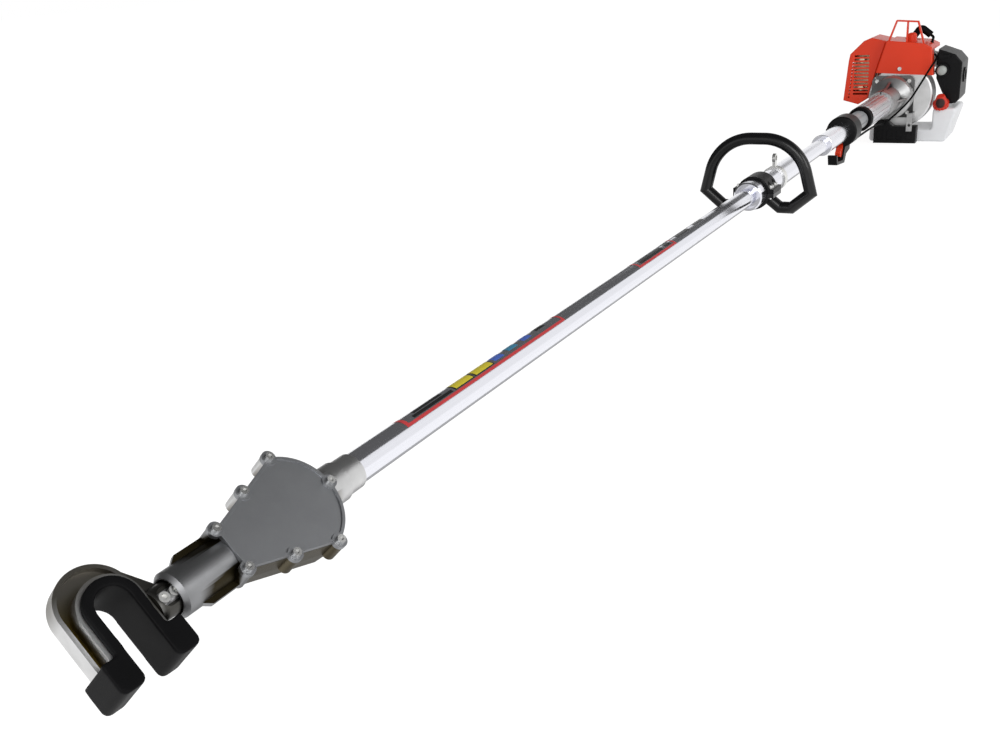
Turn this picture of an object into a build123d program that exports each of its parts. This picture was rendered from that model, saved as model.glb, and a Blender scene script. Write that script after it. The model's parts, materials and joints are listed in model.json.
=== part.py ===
"""Petrol branch shaker for olives: a two-stroke engine drives a shaft through a long pole to a
crank gearbox, and the crank pushes a rubber lined hook to and fro along the pole.

Millimetres. X runs along the pole from the gearbox to the engine, Z is up over the engine.
The origin is on the pole's axis, where the tube leaves the gearbox socket.
"""
import os
from math import atan2, cos, degrees, pi, radians, sin, tan

from build123d import *

# Clearances
RUNNING = 0.05
SEAT = 0.02
APART = 0.3
BOND = 0.05

# Hook
HOOK_REACH = 38.0
HOOK_OFFSET = 15.0
HOOK_DROP = -7.0
HOOK_LEAN = 1.5
SLOT_R = 12.5
LINER = 7.5
FLANGE = 3.0
CROWN_R = 27.2
CROWN_SHIFT = -2.8
CROWN_RISE = 9.7
LEG = 53.0
TIP_LENGTH = 24.0
TIP_FLOOR = 4.0
TIP_WALL = 1.5
LINER_HALF = 20.5
INNER_HALF = 15.5
OUTER_HALF = 7.5
WEB_HALF = 2.0
GUSSET_HALF = 6.0
GUSSET_ANGLE = 35.0
STEM_R = 12.5
STEM_ENTRY = 8.0
STEM_GRIP = 21.0
HOOK_SCREW_R = 2.5
HOOK_SCREW_PITCH = 9.0

# Shaker rod, connecting rod and crank
ROD_R = 9.0
ROD_FLAT = 7.5
CRANK_R = 16.0
CONROD_LENGTH = 60.0
CONROD_HALF = 4.0
BIG_END_R = 6.4
SMALL_END_R = 6.3
CRANK_PIN_R = 3.5
WRIST_PIN_R = 3.0
FORK_END = 8.0
GEAR_MODULE = 2.0
GEAR_TEETH = 30
PINION_TEETH = 9
TOOTH_FACE = 7.0
CRANK_JOURNAL_R = 6.0
PINION_JOURNAL_R = 5.0
BEARING_WIDTH = 8.0
CRANK_BEARING_R = 14.0
PINION_BEARING_R = 13.0
PINION_BEARING_FRONT = 34.0
PINION_HUB_R = 8.0
PINION_SOCKET_R = 6.5
PINION_TAIL = 8.0
SQUARE_LENGTH = 12.0

# Gearbox
ROLL = 44.0
GEARBOX_LENGTH = 147.0
ARC_R = 44.4
ARC_BACK = 41.1
WIDE_ANGLE = 71.0
FRONT_HALF = 18.0
CRANK_BACK = 80.0
WALL = 3.8
BODY_TOP = 15.5
BODY_WAIST = -2.0
BODY_FLOOR = -18.0
BODY_BOTTOM = -22.0
BODY_DRAFT = 8.0
GASKET = 0.5
COVER = 4.0
COVER_RIM = 2.6
COVER_RECESS = 1.2
LUG_R = 6.0
COLUMN_R = 5.5
COVER_SCREW_R = 2.0
NECK_LENGTH = 49.0
NECK_R = 18.0
NECK_CAVITY_R = 11.0
BUSH_WALL = 3.0
BUSH_LENGTH = 20.0
BUSH_SETBACK = 16.0
SEAL_LENGTH = 3.5
MOUTH_R = 14.0
COLLAR_R = 17.5
COLLAR_FRONT = 58.0
SPIGOT_LENGTH = 19.0
SPIGOT_WALL = 1.8
SOCKET_DEPTH = 20.0
RIB_HALF = 2.5
RIB_REACH = 4.0

# Pole and drive shaft
POLE_R = 14.0
POLE_WALL = 1.75
POLE_LENGTH = 2000.0
SHAFT_R = 4.0
SHAFT_SQUARE = 6.0
SHAFT_BUSH_LENGTH = 22.0
SHAFT_BUSHES = 6

# Front handle, measured forwards from the pole's rear end
HANDLE_SETBACK = 932.0
SLEEVE_LEAD = 48.0
SLEEVE_LENGTH = 242.0
SLEEVE_R = 18.5
SLEEVE_COLLAR_R = 23.0
SLEEVE_COLLAR = 26.0
LOOP_R = 9.5
LOOP_HALF_WIDTH = 87.0
LOOP_SHOULDER = -1.0
LOOP_TOP = 84.0
LOOP_TOP_HALF = 65.0
LOOP_TOP_R = 70.0
LOOP_FOOT = -26.0
LOOP_FOOT_IN = 38.0
LOOP_FOOT_OUT = 57.0
HANDLE_CLAMP = 40.0
HANDLE_CLAMP_R = 27.0
HANDLE_BOLT_R = 2.5
CLAMP_EAR = 7.0
CLAMP_EAR_HALF = 8.0
EYE_BEHIND = 92.0
EYE_R = 4.5
EYE_RISE = 35.0
EYE_WALL = 3.0
EYE_PLATE = 5.0
EYE_BAND = 2.5
EYE_BAND_HALF = 7.0

# Rear grip and throttle
GRIP_LENGTH = 210.0
GRIP_SLEEVE_R = 19.0
GRIP_BEAD = 1.2
THROTTLE_BACK = 63.0
THROTTLE_LENGTH = 48.0
THROTTLE_R = 31.0
GUARD_DROP = 62.0
GUARD_REACH = 64.0
GUARD_HALF = 9.0
TRIGGER_SETBACK = 12.0
TRIGGER_DROP = 27.0
TRIGGER_HALF = 5.0
TRIGGER_PIN_R = 3.0
SWITCH_HALF = 4.5
SWITCH_LENGTH = 10.0
SWITCH_RISE = 3.0
SWITCH_TRAVEL = 6.0
SHIELD_LENGTH = 88.0
SHIELD_R = 19.0
SHIELD_SLITS = 8
BUFFER_LENGTH = 24.0
BUFFER_R = 26.0
DAMPER_LENGTH = 179.0
DAMPER_R = 24.0
DAMPER_RIBS = 16
DAMPER_RIB = 4.6
CABLE_R = 2.2
LEAD_R = 3.0

# Clutch
CLAMP_GRIP = 39.0
CLAMP_LENGTH = 40.0
CLAMP_R = 30.0
CLAMP_SLIT = 2.5
HUB_GAP = 26.0
CLUTCH_LENGTH = 141.0
CLUTCH_NECK_R = 27.0
CLUTCH_R = 50.0
CLUTCH_FLANGE = 98.0
CLUTCH_CORNER = 14.0
CLUTCH_RIM = 8.0
CLUTCH_BOLT = 37.0
BELL_LENGTH = 52.0
DRUM_DEPTH = 32.0
DRUM_R = 34.0
DRUM_WALL = 2.5
DRUM_HUB_R = 8.0
BEARING_R = 16.0
ENGINE_SCREW_R = 2.5
SCREW_HEAD_R = 4.5
SCREW_HEAD = 4.5
TAB_RIGHT = -53.0
TAB_LEFT = -40.0
TAB_LOW = -79.0
TAB_HIGH = -36.0
TAB_THICK = 4.5
TAB_HOLE_R = 3.5

# Engine block
FAN_R = 74.0
FAN_SHIFT = -16.0
FAN_DEPTH = 40.0
FAN_WALL = 4.0
FLYWHEEL_R = 50.0
FLYWHEEL_BLADES = 16
CRANKSHAFT_R = 7.5
CASE_PLATE = 5.0
CASE_DEPTH = 56.0
CASE_HALF = 44.0
CYLINDER_FOOT = 46.0
CYLINDER_TOP = 106.0
CYLINDER_R = 18.0
FIN_HALF_X = 22.5
FIN_HALF_Y = 26.0
FIN = 2.4
FINS = 9
PORT_HALF = 16.0
STARTER_DEPTH = 34.0
STARTER_R = 60.0
STARTER_PULL = 35.0
ROPE_R = 1.5
SHELL = 2.5

# Covers, muffler and air filter
COVER_LENGTH = 108.0
DOME_R = 11.0
FRAME_ROD = 3.6
FRAME_DEPTH = 8.0
GUARD_FRONT = 18.0
GUARD_LENGTH = 90.0
GUARD_SLOTS = 12
GUARD_SLOT = 4.4
GUARD_SLOT_PITCH = 8.2
MUFFLER_RIGHT = 57.0
MUFFLER_WIDTH = 50.0
MUFFLER_LOW = 4.0
MUFFLER_HEIGHT = 94.0
MUFFLER_LENGTH = 46.0
CARB_OUT = -84.0
INTAKE_R = 10.0
FILTER_FRONT = 24.0
FILTER_LENGTH = 90.0
FILTER_SPLIT = -106.0
PRIMER_R = 11.0
PRIMER_BOSS = 4.5
PRIMER_PRESS = 4.0
CHOKE_PIN_R = 3.0
KNOB_R = 12.0
KNOB_SEAT = 135.0
PLUG_R = 5.5
PLUG_TILT = 35.0
BOOT_R = 8.0

# Fuel tank and stand
FLOOR = -109.0
TANK_TOP = -80.0
TANK_SHOULDER = -30.0
TANK_LEFT = 52.0
TANK_RIGHT = -146.0
TANK_DRAFT = 22.0
TANK_STEP = -92.0
TANK_LENGTH = 118.0
FILLER_Y = -109.0
FILLER_SETBACK = 9.0
NECK_FILLER_R = 12.0
CAP_R = 18.0
CAP_SKIRT = 10.0
CAP_CONE = 20.0
CAP_TILT = 30.0
STAND_LENGTH = 24.0
STAND_TOP = -54.0
STAND_DIP = -68.0
STAND_LEFT = 36.0
STAND_RIGHT = -62.0
STAND_WALL = 4.0

os.makedirs("parts", exist_ok=True)


def save(builder, name):
    """Labels a finished piece and writes its file."""
    builder.part.label = name
    export_step(builder.part, f"parts/{name}.step")


def turned(x0, x1, outer, inner=0.0, mode=Mode.ADD):
    """A round length on the pole's axis, or a ring where a bore is given."""
    with BuildSketch(Plane.YZ.offset(x0)) as face:
        Circle(outer)
        if inner:
            Circle(inner, mode=Mode.SUBTRACT)
    extrude(face.sketch, amount=x1 - x0, mode=mode)


def revolved(points, mode=Mode.ADD):
    """A body of revolution about the pole's axis from points (x, radius)."""
    with BuildSketch(Plane.XZ) as face:
        with BuildLine():
            Polyline(*points, close=True)
        make_face()
    revolve(face.sketch, axis=Axis.X, mode=mode)


# The gearbox and hook are turned about the pole: on this plane x runs along the pole,
# y points away from the hook's legs and the normal comes out of the gearbox cover.
ROLLED = Plane(origin=(0, 0, 0), x_dir=(1, 0, 0), z_dir=(0, -sin(radians(ROLL)), cos(radians(ROLL))))

gearbox_front = -GEARBOX_LENGTH
neck_end = gearbox_front - NECK_LENGTH
crank_x = -CRANK_BACK
crank_pin_x = crank_x + CRANK_R
wrist_x = crank_pin_x - CONROD_LENGTH
rod_rear = wrist_x + FORK_END
stem_rear = neck_end + STEM_ENTRY
rod_front = stem_rear - STEM_GRIP
hook_x = neck_end - HOOK_REACH
bush_front = neck_end + BUSH_SETBACK
bush_rear = bush_front + BUSH_LENGTH
bush_r = ROD_R + RUNNING + BUSH_WALL
cover_under = BODY_TOP + GASKET
cover_top = cover_under + COVER
arc_x = -ARC_BACK - ARC_R
socket_front = -SOCKET_DEPTH

# Hook casting: an I-section arch, deepest at its crown, with a round stem for the shaker rod.
liner_r = SLOT_R + LINER
inner_r = liner_r + FLANGE
crown_left = CROWN_R - CROWN_SHIFT
crown_right = CROWN_R + CROWN_SHIFT
metal_leg = LEG - TIP_FLOOR
stem_front = rod_front - FLANGE + 1
lean = radians(HOOK_LEAN)
hook_plane = Plane(
    origin=ROLLED.from_local_coords(Vector(hook_x, HOOK_OFFSET, HOOK_DROP)),
    x_dir=ROLLED.x_dir * cos(lean) - ROLLED.y_dir * sin(lean),
    z_dir=ROLLED.z_dir,
)
flat_length = STEM_GRIP - FLANGE
screw_middle = rod_front + flat_length / 2
screw_spots = [(screw_middle - HOOK_SCREW_PITCH / 2, 0), (screw_middle + HOOK_SCREW_PITCH / 2, 0)]
pocket_width = 2 * ROD_R - FLANGE


def arch(radius, leg, mode=Mode.ADD):
    """The hook's outline: a round crown over two straight legs."""
    Circle(radius, mode=mode)
    with Locations((0, -leg / 2)):
        Rectangle(2 * radius, leg, mode=mode)


with BuildPart() as hook_casting:
    for band_half in (OUTER_HALF, WEB_HALF):
        with BuildSketch(hook_plane):
            with Locations((CROWN_SHIFT, CROWN_RISE)):
                arch(CROWN_R, metal_leg + CROWN_RISE)
                if band_half == OUTER_HALF:
                    arch(CROWN_R - FLANGE, metal_leg + CROWN_RISE + 1, Mode.SUBTRACT)
        extrude(amount=band_half, both=True)
    with BuildSketch(hook_plane):
        arch(inner_r, metal_leg)
    extrude(amount=INNER_HALF, both=True)
    with BuildSketch(ROLLED.offset(HOOK_DROP)):
        crown = radians(GUSSET_ANGLE)
        crown_x = hook_x + CROWN_SHIFT
        crown_y = HOOK_OFFSET + CROWN_RISE
        with BuildLine():
            Polyline(
                (crown_x + CROWN_R * cos(crown), crown_y + CROWN_R * sin(crown)),
                (stem_rear - STEM_ENTRY, STEM_R),
                (stem_rear - STEM_ENTRY, -STEM_R / 2),
                (hook_x + liner_r, -STEM_R / 2),
                (hook_x + liner_r, HOOK_OFFSET),
                close=True,
            )
        make_face()
        with Locations((crown_x, crown_y)):
            Circle(CROWN_R - FLANGE / 2, mode=Mode.SUBTRACT)
    extrude(amount=GUSSET_HALF, both=True)
    with BuildSketch(hook_plane):
        arch(liner_r, LEG)
    extrude(amount=LINER_HALF, both=True, mode=Mode.SUBTRACT)
    turned(stem_front, stem_rear, STEM_R)
    chamfer(hook_casting.faces().sort_by(Axis.X)[-1].edges(), 1.5)
    turned(rod_front, stem_rear, ROD_R + SEAT, mode=Mode.SUBTRACT)
    with BuildSketch(ROLLED.offset(ROD_FLAT)):
        with Locations((screw_middle, 0)):
            SlotOverall(flat_length, pocket_width)
    extrude(amount=STEM_R, mode=Mode.SUBTRACT)
    with BuildSketch(ROLLED):
        with Locations(*screw_spots):
            Circle(HOOK_SCREW_R + SEAT)
    extrude(amount=-(STEM_R - 1.5), mode=Mode.SUBTRACT)
save(hook_casting, "hook_casting")

# Rubber liner of the hook, with thick ends that wrap both leg tips.
tip_outer = crown_left + TIP_WALL
with BuildPart() as hook_pad:
    with BuildSketch(hook_plane):
        arch(liner_r - BOND, LEG)
        arch(SLOT_R, LEG + LINER, Mode.SUBTRACT)
    extrude(amount=LINER_HALF, both=True)
    with BuildSketch(hook_plane):
        for side in (-1, 1):
            with Locations((side * (SLOT_R + tip_outer) / 2, TIP_LENGTH / 2 - LEG)):
                Rectangle(tip_outer - SLOT_R, TIP_LENGTH)
    extrude(amount=LINER_HALF, both=True)
    tip_edges = [e for e in hook_pad.edges().filter_by(Axis((0, 0, 0), ROLLED.z_dir))
                 if hook_plane.to_local_coords(e.center()).Y < 1.0 - LEG]
    fillet(tip_edges, LINER * 0.7)
    pocket_in = liner_r - BOND
    pocket_middle = (TIP_LENGTH + TIP_FLOOR - BOND) / 2 - LEG
    with BuildSketch(hook_plane):
        for side, metal_out in ((-1, crown_left), (1, crown_right)):
            pocket_out = metal_out + BOND
            with Locations((side * (pocket_in + pocket_out) / 2, pocket_middle)):
                Rectangle(pocket_out - pocket_in, TIP_LENGTH - TIP_FLOOR + BOND)
    extrude(amount=INNER_HALF + BOND, both=True, mode=Mode.SUBTRACT)
save(hook_pad, "hook_pad")

# Two socket screws through the flat of the rod into the stem.
with BuildPart() as hook_screws:
    with BuildSketch(ROLLED.offset(ROD_FLAT)):
        with Locations(*screw_spots):
            Circle(HOOK_SCREW_R * 1.6)
    extrude(amount=2 * HOOK_SCREW_R - 0.5)
    with BuildSketch(ROLLED.offset(ROD_FLAT + HOOK_SCREW_R)):
        with Locations(*screw_spots):
            RegularPolygon(HOOK_SCREW_R * 0.9, 6)
    extrude(amount=2 * HOOK_SCREW_R, mode=Mode.SUBTRACT)
    with BuildSketch(ROLLED.offset(ROD_FLAT)):
        with Locations(*screw_spots):
            Circle(HOOK_SCREW_R)
    extrude(amount=-(ROD_FLAT + STEM_R - 2.0))
save(hook_screws, "hook_screws")

# Shaker rod: a turned bar with a milled flat in the hook and a fork at the wrist pin.
fork_half = CONROD_HALF + APART
with BuildPart() as shaker_rod:
    turned(rod_front + SEAT, rod_rear, ROD_R)
    chamfer(shaker_rod.edges().filter_by(GeomType.CIRCLE), 0.8)
    with BuildSketch(ROLLED.offset(ROD_FLAT)):
        with Locations((screw_middle, 0)):
            Rectangle(flat_length, 2 * ROD_R)
    extrude(amount=ROD_R, mode=Mode.SUBTRACT)
    with BuildSketch(ROLLED):
        with Locations((wrist_x, 0)):
            Circle(SMALL_END_R + 2 * APART)
        with Locations((wrist_x + FORK_END, 0)):
            Rectangle(2 * FORK_END, 2 * ROD_R + 2)
        with Locations((wrist_x, 0)):
            Rectangle(2 * SMALL_END_R, 2 * ROD_R + 2)
    extrude(amount=fork_half, both=True, mode=Mode.SUBTRACT)
    with BuildSketch(ROLLED):
        with Locations((wrist_x, 0)):
            Circle(WRIST_PIN_R + SEAT)
        with Locations(*screw_spots):
            Circle(HOOK_SCREW_R + SEAT)
    extrude(amount=ROD_R + 1, both=True, mode=Mode.SUBTRACT)
save(shaker_rod, "shaker_rod")

with BuildPart() as wrist_pin:
    with BuildSketch(ROLLED):
        with Locations((wrist_x, 0)):
            Circle(WRIST_PIN_R)
    extrude(amount=ROD_R - 1.0, both=True)
save(wrist_pin, "wrist_pin")

# Connecting rod from the crank pin to the wrist pin, with a milled waist.
with BuildPart() as connecting_rod:
    with BuildSketch(ROLLED):
        with Locations((crank_pin_x, 0)):
            Circle(BIG_END_R)
        with Locations((wrist_x, 0)):
            Circle(SMALL_END_R)
        with BuildLine():
            Polyline(
                (crank_pin_x, BIG_END_R * 0.75),
                (wrist_x, SMALL_END_R * 0.68),
                (wrist_x, -SMALL_END_R * 0.68),
                (crank_pin_x, -BIG_END_R * 0.75),
                close=True,
            )
        make_face()
    extrude(amount=CONROD_HALF, both=True)
    for face_side in (1, -1):
        with BuildSketch(ROLLED.offset(face_side * CONROD_HALF)):
            with Locations(((crank_pin_x + wrist_x) / 2, 0)):
                SlotOverall(CONROD_LENGTH - BIG_END_R - SMALL_END_R - 6.0, SMALL_END_R * 0.75)
        extrude(amount=-face_side * CONROD_HALF * 0.4, mode=Mode.SUBTRACT)
    with BuildSketch(ROLLED):
        with Locations((crank_pin_x, 0)):
            Circle(CRANK_PIN_R + SEAT)
        with Locations((wrist_x, 0)):
            Circle(WRIST_PIN_R + RUNNING)
    extrude(amount=CONROD_HALF + 1, both=True, mode=Mode.SUBTRACT)
save(connecting_rod, "connecting_rod")

with BuildPart() as crank_pin:
    with BuildSketch(ROLLED.offset(-CONROD_HALF)):
        with Locations((crank_pin_x, 0)):
            Circle(CRANK_PIN_R)
    extrude(amount=2 * CONROD_HALF + 1.5)
    with BuildSketch(ROLLED.offset(CONROD_HALF + SEAT)):
        with Locations((crank_pin_x, 0)):
            Circle(BIG_END_R - 0.8)
    extrude(amount=1.5)
save(crank_pin, "crank_pin")

# Bevel pair: heights below the pole's axis grow with the distance from the crank's axis.
gear_r = GEAR_MODULE * GEAR_TEETH / 2
pinion_r = GEAR_MODULE * PINION_TEETH / 2
gear_inner_r = gear_r - TOOTH_FACE
addendum = 0.75 * GEAR_MODULE
dedendum = 1.15 * GEAR_MODULE
tooth_share = 0.185
flank = tan(radians(20))
gear_web = -CONROD_HALF - 2.75 * GEAR_MODULE
gear_back = gear_web - 3 * GEAR_MODULE
bearing_top = gear_back - 1.0
gear_plane = Plane(origin=(crank_x, 0, 0), x_dir=ROLLED.x_dir, z_dir=ROLLED.z_dir)


def tooth_face(radius, size, axis_height, root, tip):
    """Trapezium of one tooth, scaled down towards the meeting point of the two axes."""
    scale = radius / size
    half = tooth_share * pi * GEAR_MODULE * scale
    low = root * scale
    high = tip * scale
    with BuildLine() as edge:
        Polyline(
            (-half - low * flank, axis_height * scale - low),
            (half + low * flank, axis_height * scale - low),
            (half - high * flank, axis_height * scale + high),
            (-half + high * flank, axis_height * scale + high),
            close=True,
        )
    make_face(edge.line)


with BuildPart() as gear_tooth:
    for cut_r in (gear_inner_r, gear_r):
        with BuildSketch(Plane(origin=(cut_r, 0, 0), x_dir=(0, 1, 0), z_dir=(1, 0, 0))):
            tooth_face(cut_r, gear_r, -pinion_r, dedendum + 0.6, addendum)
    loft(ruled=True)

with BuildPart(gear_plane) as crank_gear:
    root_slope = -(pinion_r + dedendum) / gear_r
    with BuildSketch(Plane(origin=gear_plane.origin, x_dir=gear_plane.x_dir, z_dir=-gear_plane.y_dir)):
        with BuildLine():
            Polyline(
                (0, gear_web),
                (gear_inner_r, gear_web),
                (gear_inner_r, root_slope * gear_inner_r),
                (gear_r, root_slope * gear_r),
                (gear_r, gear_back + 1.5),
                (gear_r - 1.5, gear_back),
                (CRANK_JOURNAL_R, gear_back),
                (CRANK_JOURNAL_R, bearing_top - BEARING_WIDTH - 0.5),
                (0, bearing_top - BEARING_WIDTH - 0.5),
                close=True,
            )
        make_face()
    revolve(axis=Axis(gear_plane.origin, gear_plane.z_dir))
    with PolarLocations(0, GEAR_TEETH):
        add(gear_tooth.part)
    with BuildSketch(gear_plane.offset(gear_web)):
        with Locations((CRANK_R, 0)):
            Circle(CRANK_PIN_R)
    extrude(amount=-gear_web - CONROD_HALF - APART)
    with BuildSketch(gear_plane.offset(gear_web)):
        with PolarLocations(gear_inner_r * 0.62, 3, start_angle=90, angular_range=180):
            Circle(3.5)
    extrude(amount=gear_back - gear_web - 1, mode=Mode.SUBTRACT)
save(crank_gear, "crank_gear")

# Pinion on the drive shaft's end, with its journal and square socket.
pinion_plane = Plane(origin=(crank_x, 0, 0), x_dir=ROLLED.y_dir, z_dir=(1, 0, 0))
pinion_back = crank_x + gear_r
pinion_nose = crank_x + gear_inner_r
pinion_bearing_front = -PINION_BEARING_FRONT
pinion_end = -PINION_TAIL

with BuildPart() as pinion_tooth:
    for cut_x in (gear_inner_r, gear_r):
        with BuildSketch(Plane(origin=(0, 0, cut_x), x_dir=(1, 0, 0), z_dir=(0, 0, 1))):
            tooth_face(cut_x, gear_r, pinion_r, dedendum + 0.8, addendum)
    loft(ruled=True)

with BuildPart(pinion_plane) as bevel_pinion:
    nose_share = gear_inner_r / gear_r
    root_r = pinion_r - dedendum
    revolved([
        (pinion_nose, 0),
        (pinion_nose, root_r * nose_share),
        (pinion_back, root_r),
        (pinion_back, PINION_HUB_R),
        (pinion_bearing_front - 1, PINION_HUB_R),
        (pinion_bearing_front - 1, PINION_JOURNAL_R),
        (pinion_bearing_front + BEARING_WIDTH + 0.5, PINION_JOURNAL_R),
        (pinion_bearing_front + BEARING_WIDTH + 0.5, PINION_SOCKET_R),
        (pinion_end, PINION_SOCKET_R),
        (pinion_end, 0),
    ])
    with PolarLocations(0, PINION_TEETH, start_angle=0):
        add(pinion_tooth.part)
    with BuildSketch(Plane.YZ.offset(pinion_end)):
        Rectangle(SHAFT_SQUARE + 2 * SEAT, SHAFT_SQUARE + 2 * SEAT)
    extrude(amount=-SQUARE_LENGTH, mode=Mode.SUBTRACT)
save(bevel_pinion, "bevel_pinion")

# Ball bearings drawn as shielded rings.
with BuildPart() as gear_bearings:
    with BuildSketch(gear_plane.offset(bearing_top)):
        Circle(CRANK_BEARING_R - SEAT)
        Circle(CRANK_JOURNAL_R + RUNNING, mode=Mode.SUBTRACT)
    extrude(amount=-BEARING_WIDTH)
    for face_at, way in ((bearing_top, -1), (bearing_top - BEARING_WIDTH, 1)):
        with BuildSketch(gear_plane.offset(face_at)):
            Circle(CRANK_BEARING_R - 2.5)
            Circle(CRANK_JOURNAL_R + 2.5, mode=Mode.SUBTRACT)
        extrude(amount=way * 0.7, mode=Mode.SUBTRACT)
    turned(pinion_bearing_front, pinion_bearing_front + BEARING_WIDTH,
           PINION_BEARING_R - SEAT, PINION_JOURNAL_R + RUNNING)
    turned(pinion_bearing_front, pinion_bearing_front + 0.7,
           PINION_BEARING_R - 2.5, PINION_JOURNAL_R + 2.0, Mode.SUBTRACT)
save(gear_bearings, "gear_bearings")

# Gearbox body: a drafted pan with bolt columns, the rod's neck in front and the pole's socket behind.
wide = radians(WIDE_ANGLE)
corner_wide = (arc_x + ARC_R * cos(wide), ARC_R * sin(wide))
corner_front = (gearbox_front, FRONT_HALF)
middle_bolt = ((corner_wide[0] + corner_front[0]) / 2, (corner_wide[1] + corner_front[1]) / 2)
rear_bolt = (arc_x + ARC_R, 0)
cover_bolts = [rear_bolt]
for spot in (corner_wide, middle_bolt, corner_front):
    cover_bolts += [spot, (spot[0], -spot[1])]


def gearbox_outline(inset=0.0, mode=Mode.ADD):
    """Plan of the gearbox: a round back, two straight flanks and a blunt front."""
    wide_low = (corner_wide[0], -corner_wide[1])
    front_low = (corner_front[0], -corner_front[1])
    with BuildLine(mode=Mode.PRIVATE) as edge:
        ThreePointArc(corner_wide, rear_bolt, wide_low)
        Line(wide_low, front_low)
        Line(front_low, corner_front)
        Line(corner_front, corner_wide)
    plan = make_face(edge.line, mode=Mode.PRIVATE)
    if inset:
        plan = offset(plan, amount=-inset, kind=Kind.INTERSECTION, mode=Mode.PRIVATE)
    add(plan, mode=mode)


floor_bore = bearing_top - BEARING_WIDTH - 1.0
with BuildPart() as gearbox_body:
    with BuildSketch(ROLLED.offset(BODY_WAIST)):
        gearbox_outline()
    extrude(amount=BODY_TOP - BODY_WAIST)
    with BuildSketch(ROLLED.offset(BODY_WAIST)):
        gearbox_outline()
    extrude(amount=BODY_BOTTOM - BODY_WAIST, taper=BODY_DRAFT)
    with BuildSketch(ROLLED.offset(BODY_BOTTOM)):
        with Locations((crank_x, 0)):
            Circle(CRANK_BEARING_R + WALL)
    extrude(amount=floor_bore - WALL / 2 - BODY_BOTTOM)
    turned(neck_end, gearbox_front + WALL, NECK_R)
    chamfer(gearbox_body.faces().sort_by(Axis.X)[0].edges(), 3.0)
    turned(-COLLAR_FRONT, -SPIGOT_LENGTH, COLLAR_R)
    chamfer(gearbox_body.faces().sort_by(Axis.X)[-1].edges(), 1.5)
    turned(-SPIGOT_LENGTH - 1, 0, POLE_R + SPIGOT_WALL)
    chamfer(gearbox_body.faces().sort_by(Axis.X)[-1].edges(), 0.8)
    with BuildSketch(ROLLED.offset(RIB_HALF)):
        for side in (1, -1):
            with BuildLine():
                Polyline(
                    (gearbox_front + WALL, side * (NECK_R - 2)),
                    (gearbox_front + WALL, side * (NECK_R + RIB_REACH)),
                    (neck_end + 20, side * (NECK_R + RIB_REACH)),
                    (neck_end + 12, side * (NECK_R - 2)),
                    close=True,
                )
            make_face()
    extrude(amount=RIB_HALF, both=True)
    with BuildSketch(ROLLED.offset(BODY_TOP)):
        gearbox_outline(-APART)
        with Locations(*cover_bolts):
            Circle(LUG_R + APART)
    extrude(amount=COLLAR_R, mode=Mode.SUBTRACT)
    with BuildSketch(ROLLED.offset(BODY_WAIST)):
        gearbox_outline(WALL)
    extrude(amount=BODY_TOP - BODY_WAIST, mode=Mode.SUBTRACT)
    with BuildSketch(ROLLED.offset(BODY_WAIST)):
        gearbox_outline(WALL)
    extrude(amount=BODY_FLOOR - BODY_WAIST, taper=BODY_DRAFT, mode=Mode.SUBTRACT)
    with BuildSketch(ROLLED.offset(BODY_TOP)):
        with Locations(*cover_bolts):
            Circle(COLUMN_R)
    extrude(amount=BODY_WAIST - BODY_TOP)
    with BuildSketch(ROLLED.offset(BODY_TOP)):
        with Locations(*cover_bolts):
            Circle(COVER_SCREW_R + SEAT)
    extrude(amount=-7.0, mode=Mode.SUBTRACT)
    with BuildSketch(ROLLED.offset(BODY_FLOOR + 1)):
        with Locations((crank_x, 0)):
            Circle(CRANK_BEARING_R)
    extrude(amount=floor_bore - BODY_FLOOR - 1, mode=Mode.SUBTRACT)
    turned(bush_rear, gearbox_front + 2 * WALL, NECK_CAVITY_R, mode=Mode.SUBTRACT)
    turned(bush_front - SEAL_LENGTH, bush_rear + 1, bush_r + SEAT, mode=Mode.SUBTRACT)
    turned(neck_end - 1, bush_front - SEAL_LENGTH, MOUTH_R, mode=Mode.SUBTRACT)
    turned(rear_bolt[0] - 2 * WALL, pinion_bearing_front + 1, PINION_HUB_R + 1, mode=Mode.SUBTRACT)
    turned(pinion_bearing_front, socket_front + 1, PINION_BEARING_R, mode=Mode.SUBTRACT)
    turned(socket_front, 1, POLE_R + SEAT, mode=Mode.SUBTRACT)
save(gearbox_body, "gearbox_body")

with BuildPart() as guide_bush:
    turned(bush_front, bush_rear, bush_r, ROD_R + RUNNING)
    chamfer(guide_bush.edges().filter_by(GeomType.CIRCLE), 0.5)
save(guide_bush, "guide_bush")

with BuildPart() as rod_seal:
    turned(bush_front - SEAL_LENGTH, bush_front - SEAT, bush_r, ROD_R + RUNNING)
save(rod_seal, "rod_seal")

with BuildPart() as cover_gasket:
    with BuildSketch(ROLLED.offset(BODY_TOP)):
        gearbox_outline()
        with Locations(*cover_bolts):
            Circle(COLUMN_R)
        gearbox_outline(WALL, Mode.SUBTRACT)
        with Locations(*cover_bolts):
            Circle(COLUMN_R)
        with Locations(*cover_bolts):
            Circle(COVER_SCREW_R + SEAT, mode=Mode.SUBTRACT)
    extrude(amount=GASKET)
save(cover_gasket, "cover_gasket")

# Gearbox cover: a flat plate with a raised rim and bolt lugs.
with BuildPart() as gearbox_cover:
    with BuildSketch(ROLLED.offset(cover_under)):
        gearbox_outline()
        with Locations(*cover_bolts):
            Circle(LUG_R)
        with Locations(*cover_bolts):
            Circle(COVER_SCREW_R + SEAT, mode=Mode.SUBTRACT)
    extrude(amount=COVER)
    with BuildSketch(ROLLED.offset(cover_top)):
        gearbox_outline(COVER_RIM)
        with Locations(*cover_bolts):
            Circle(LUG_R + 0.6, mode=Mode.SUBTRACT)
    extrude(amount=-COVER_RECESS, mode=Mode.SUBTRACT)
save(gearbox_cover, "gearbox_cover")

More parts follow.
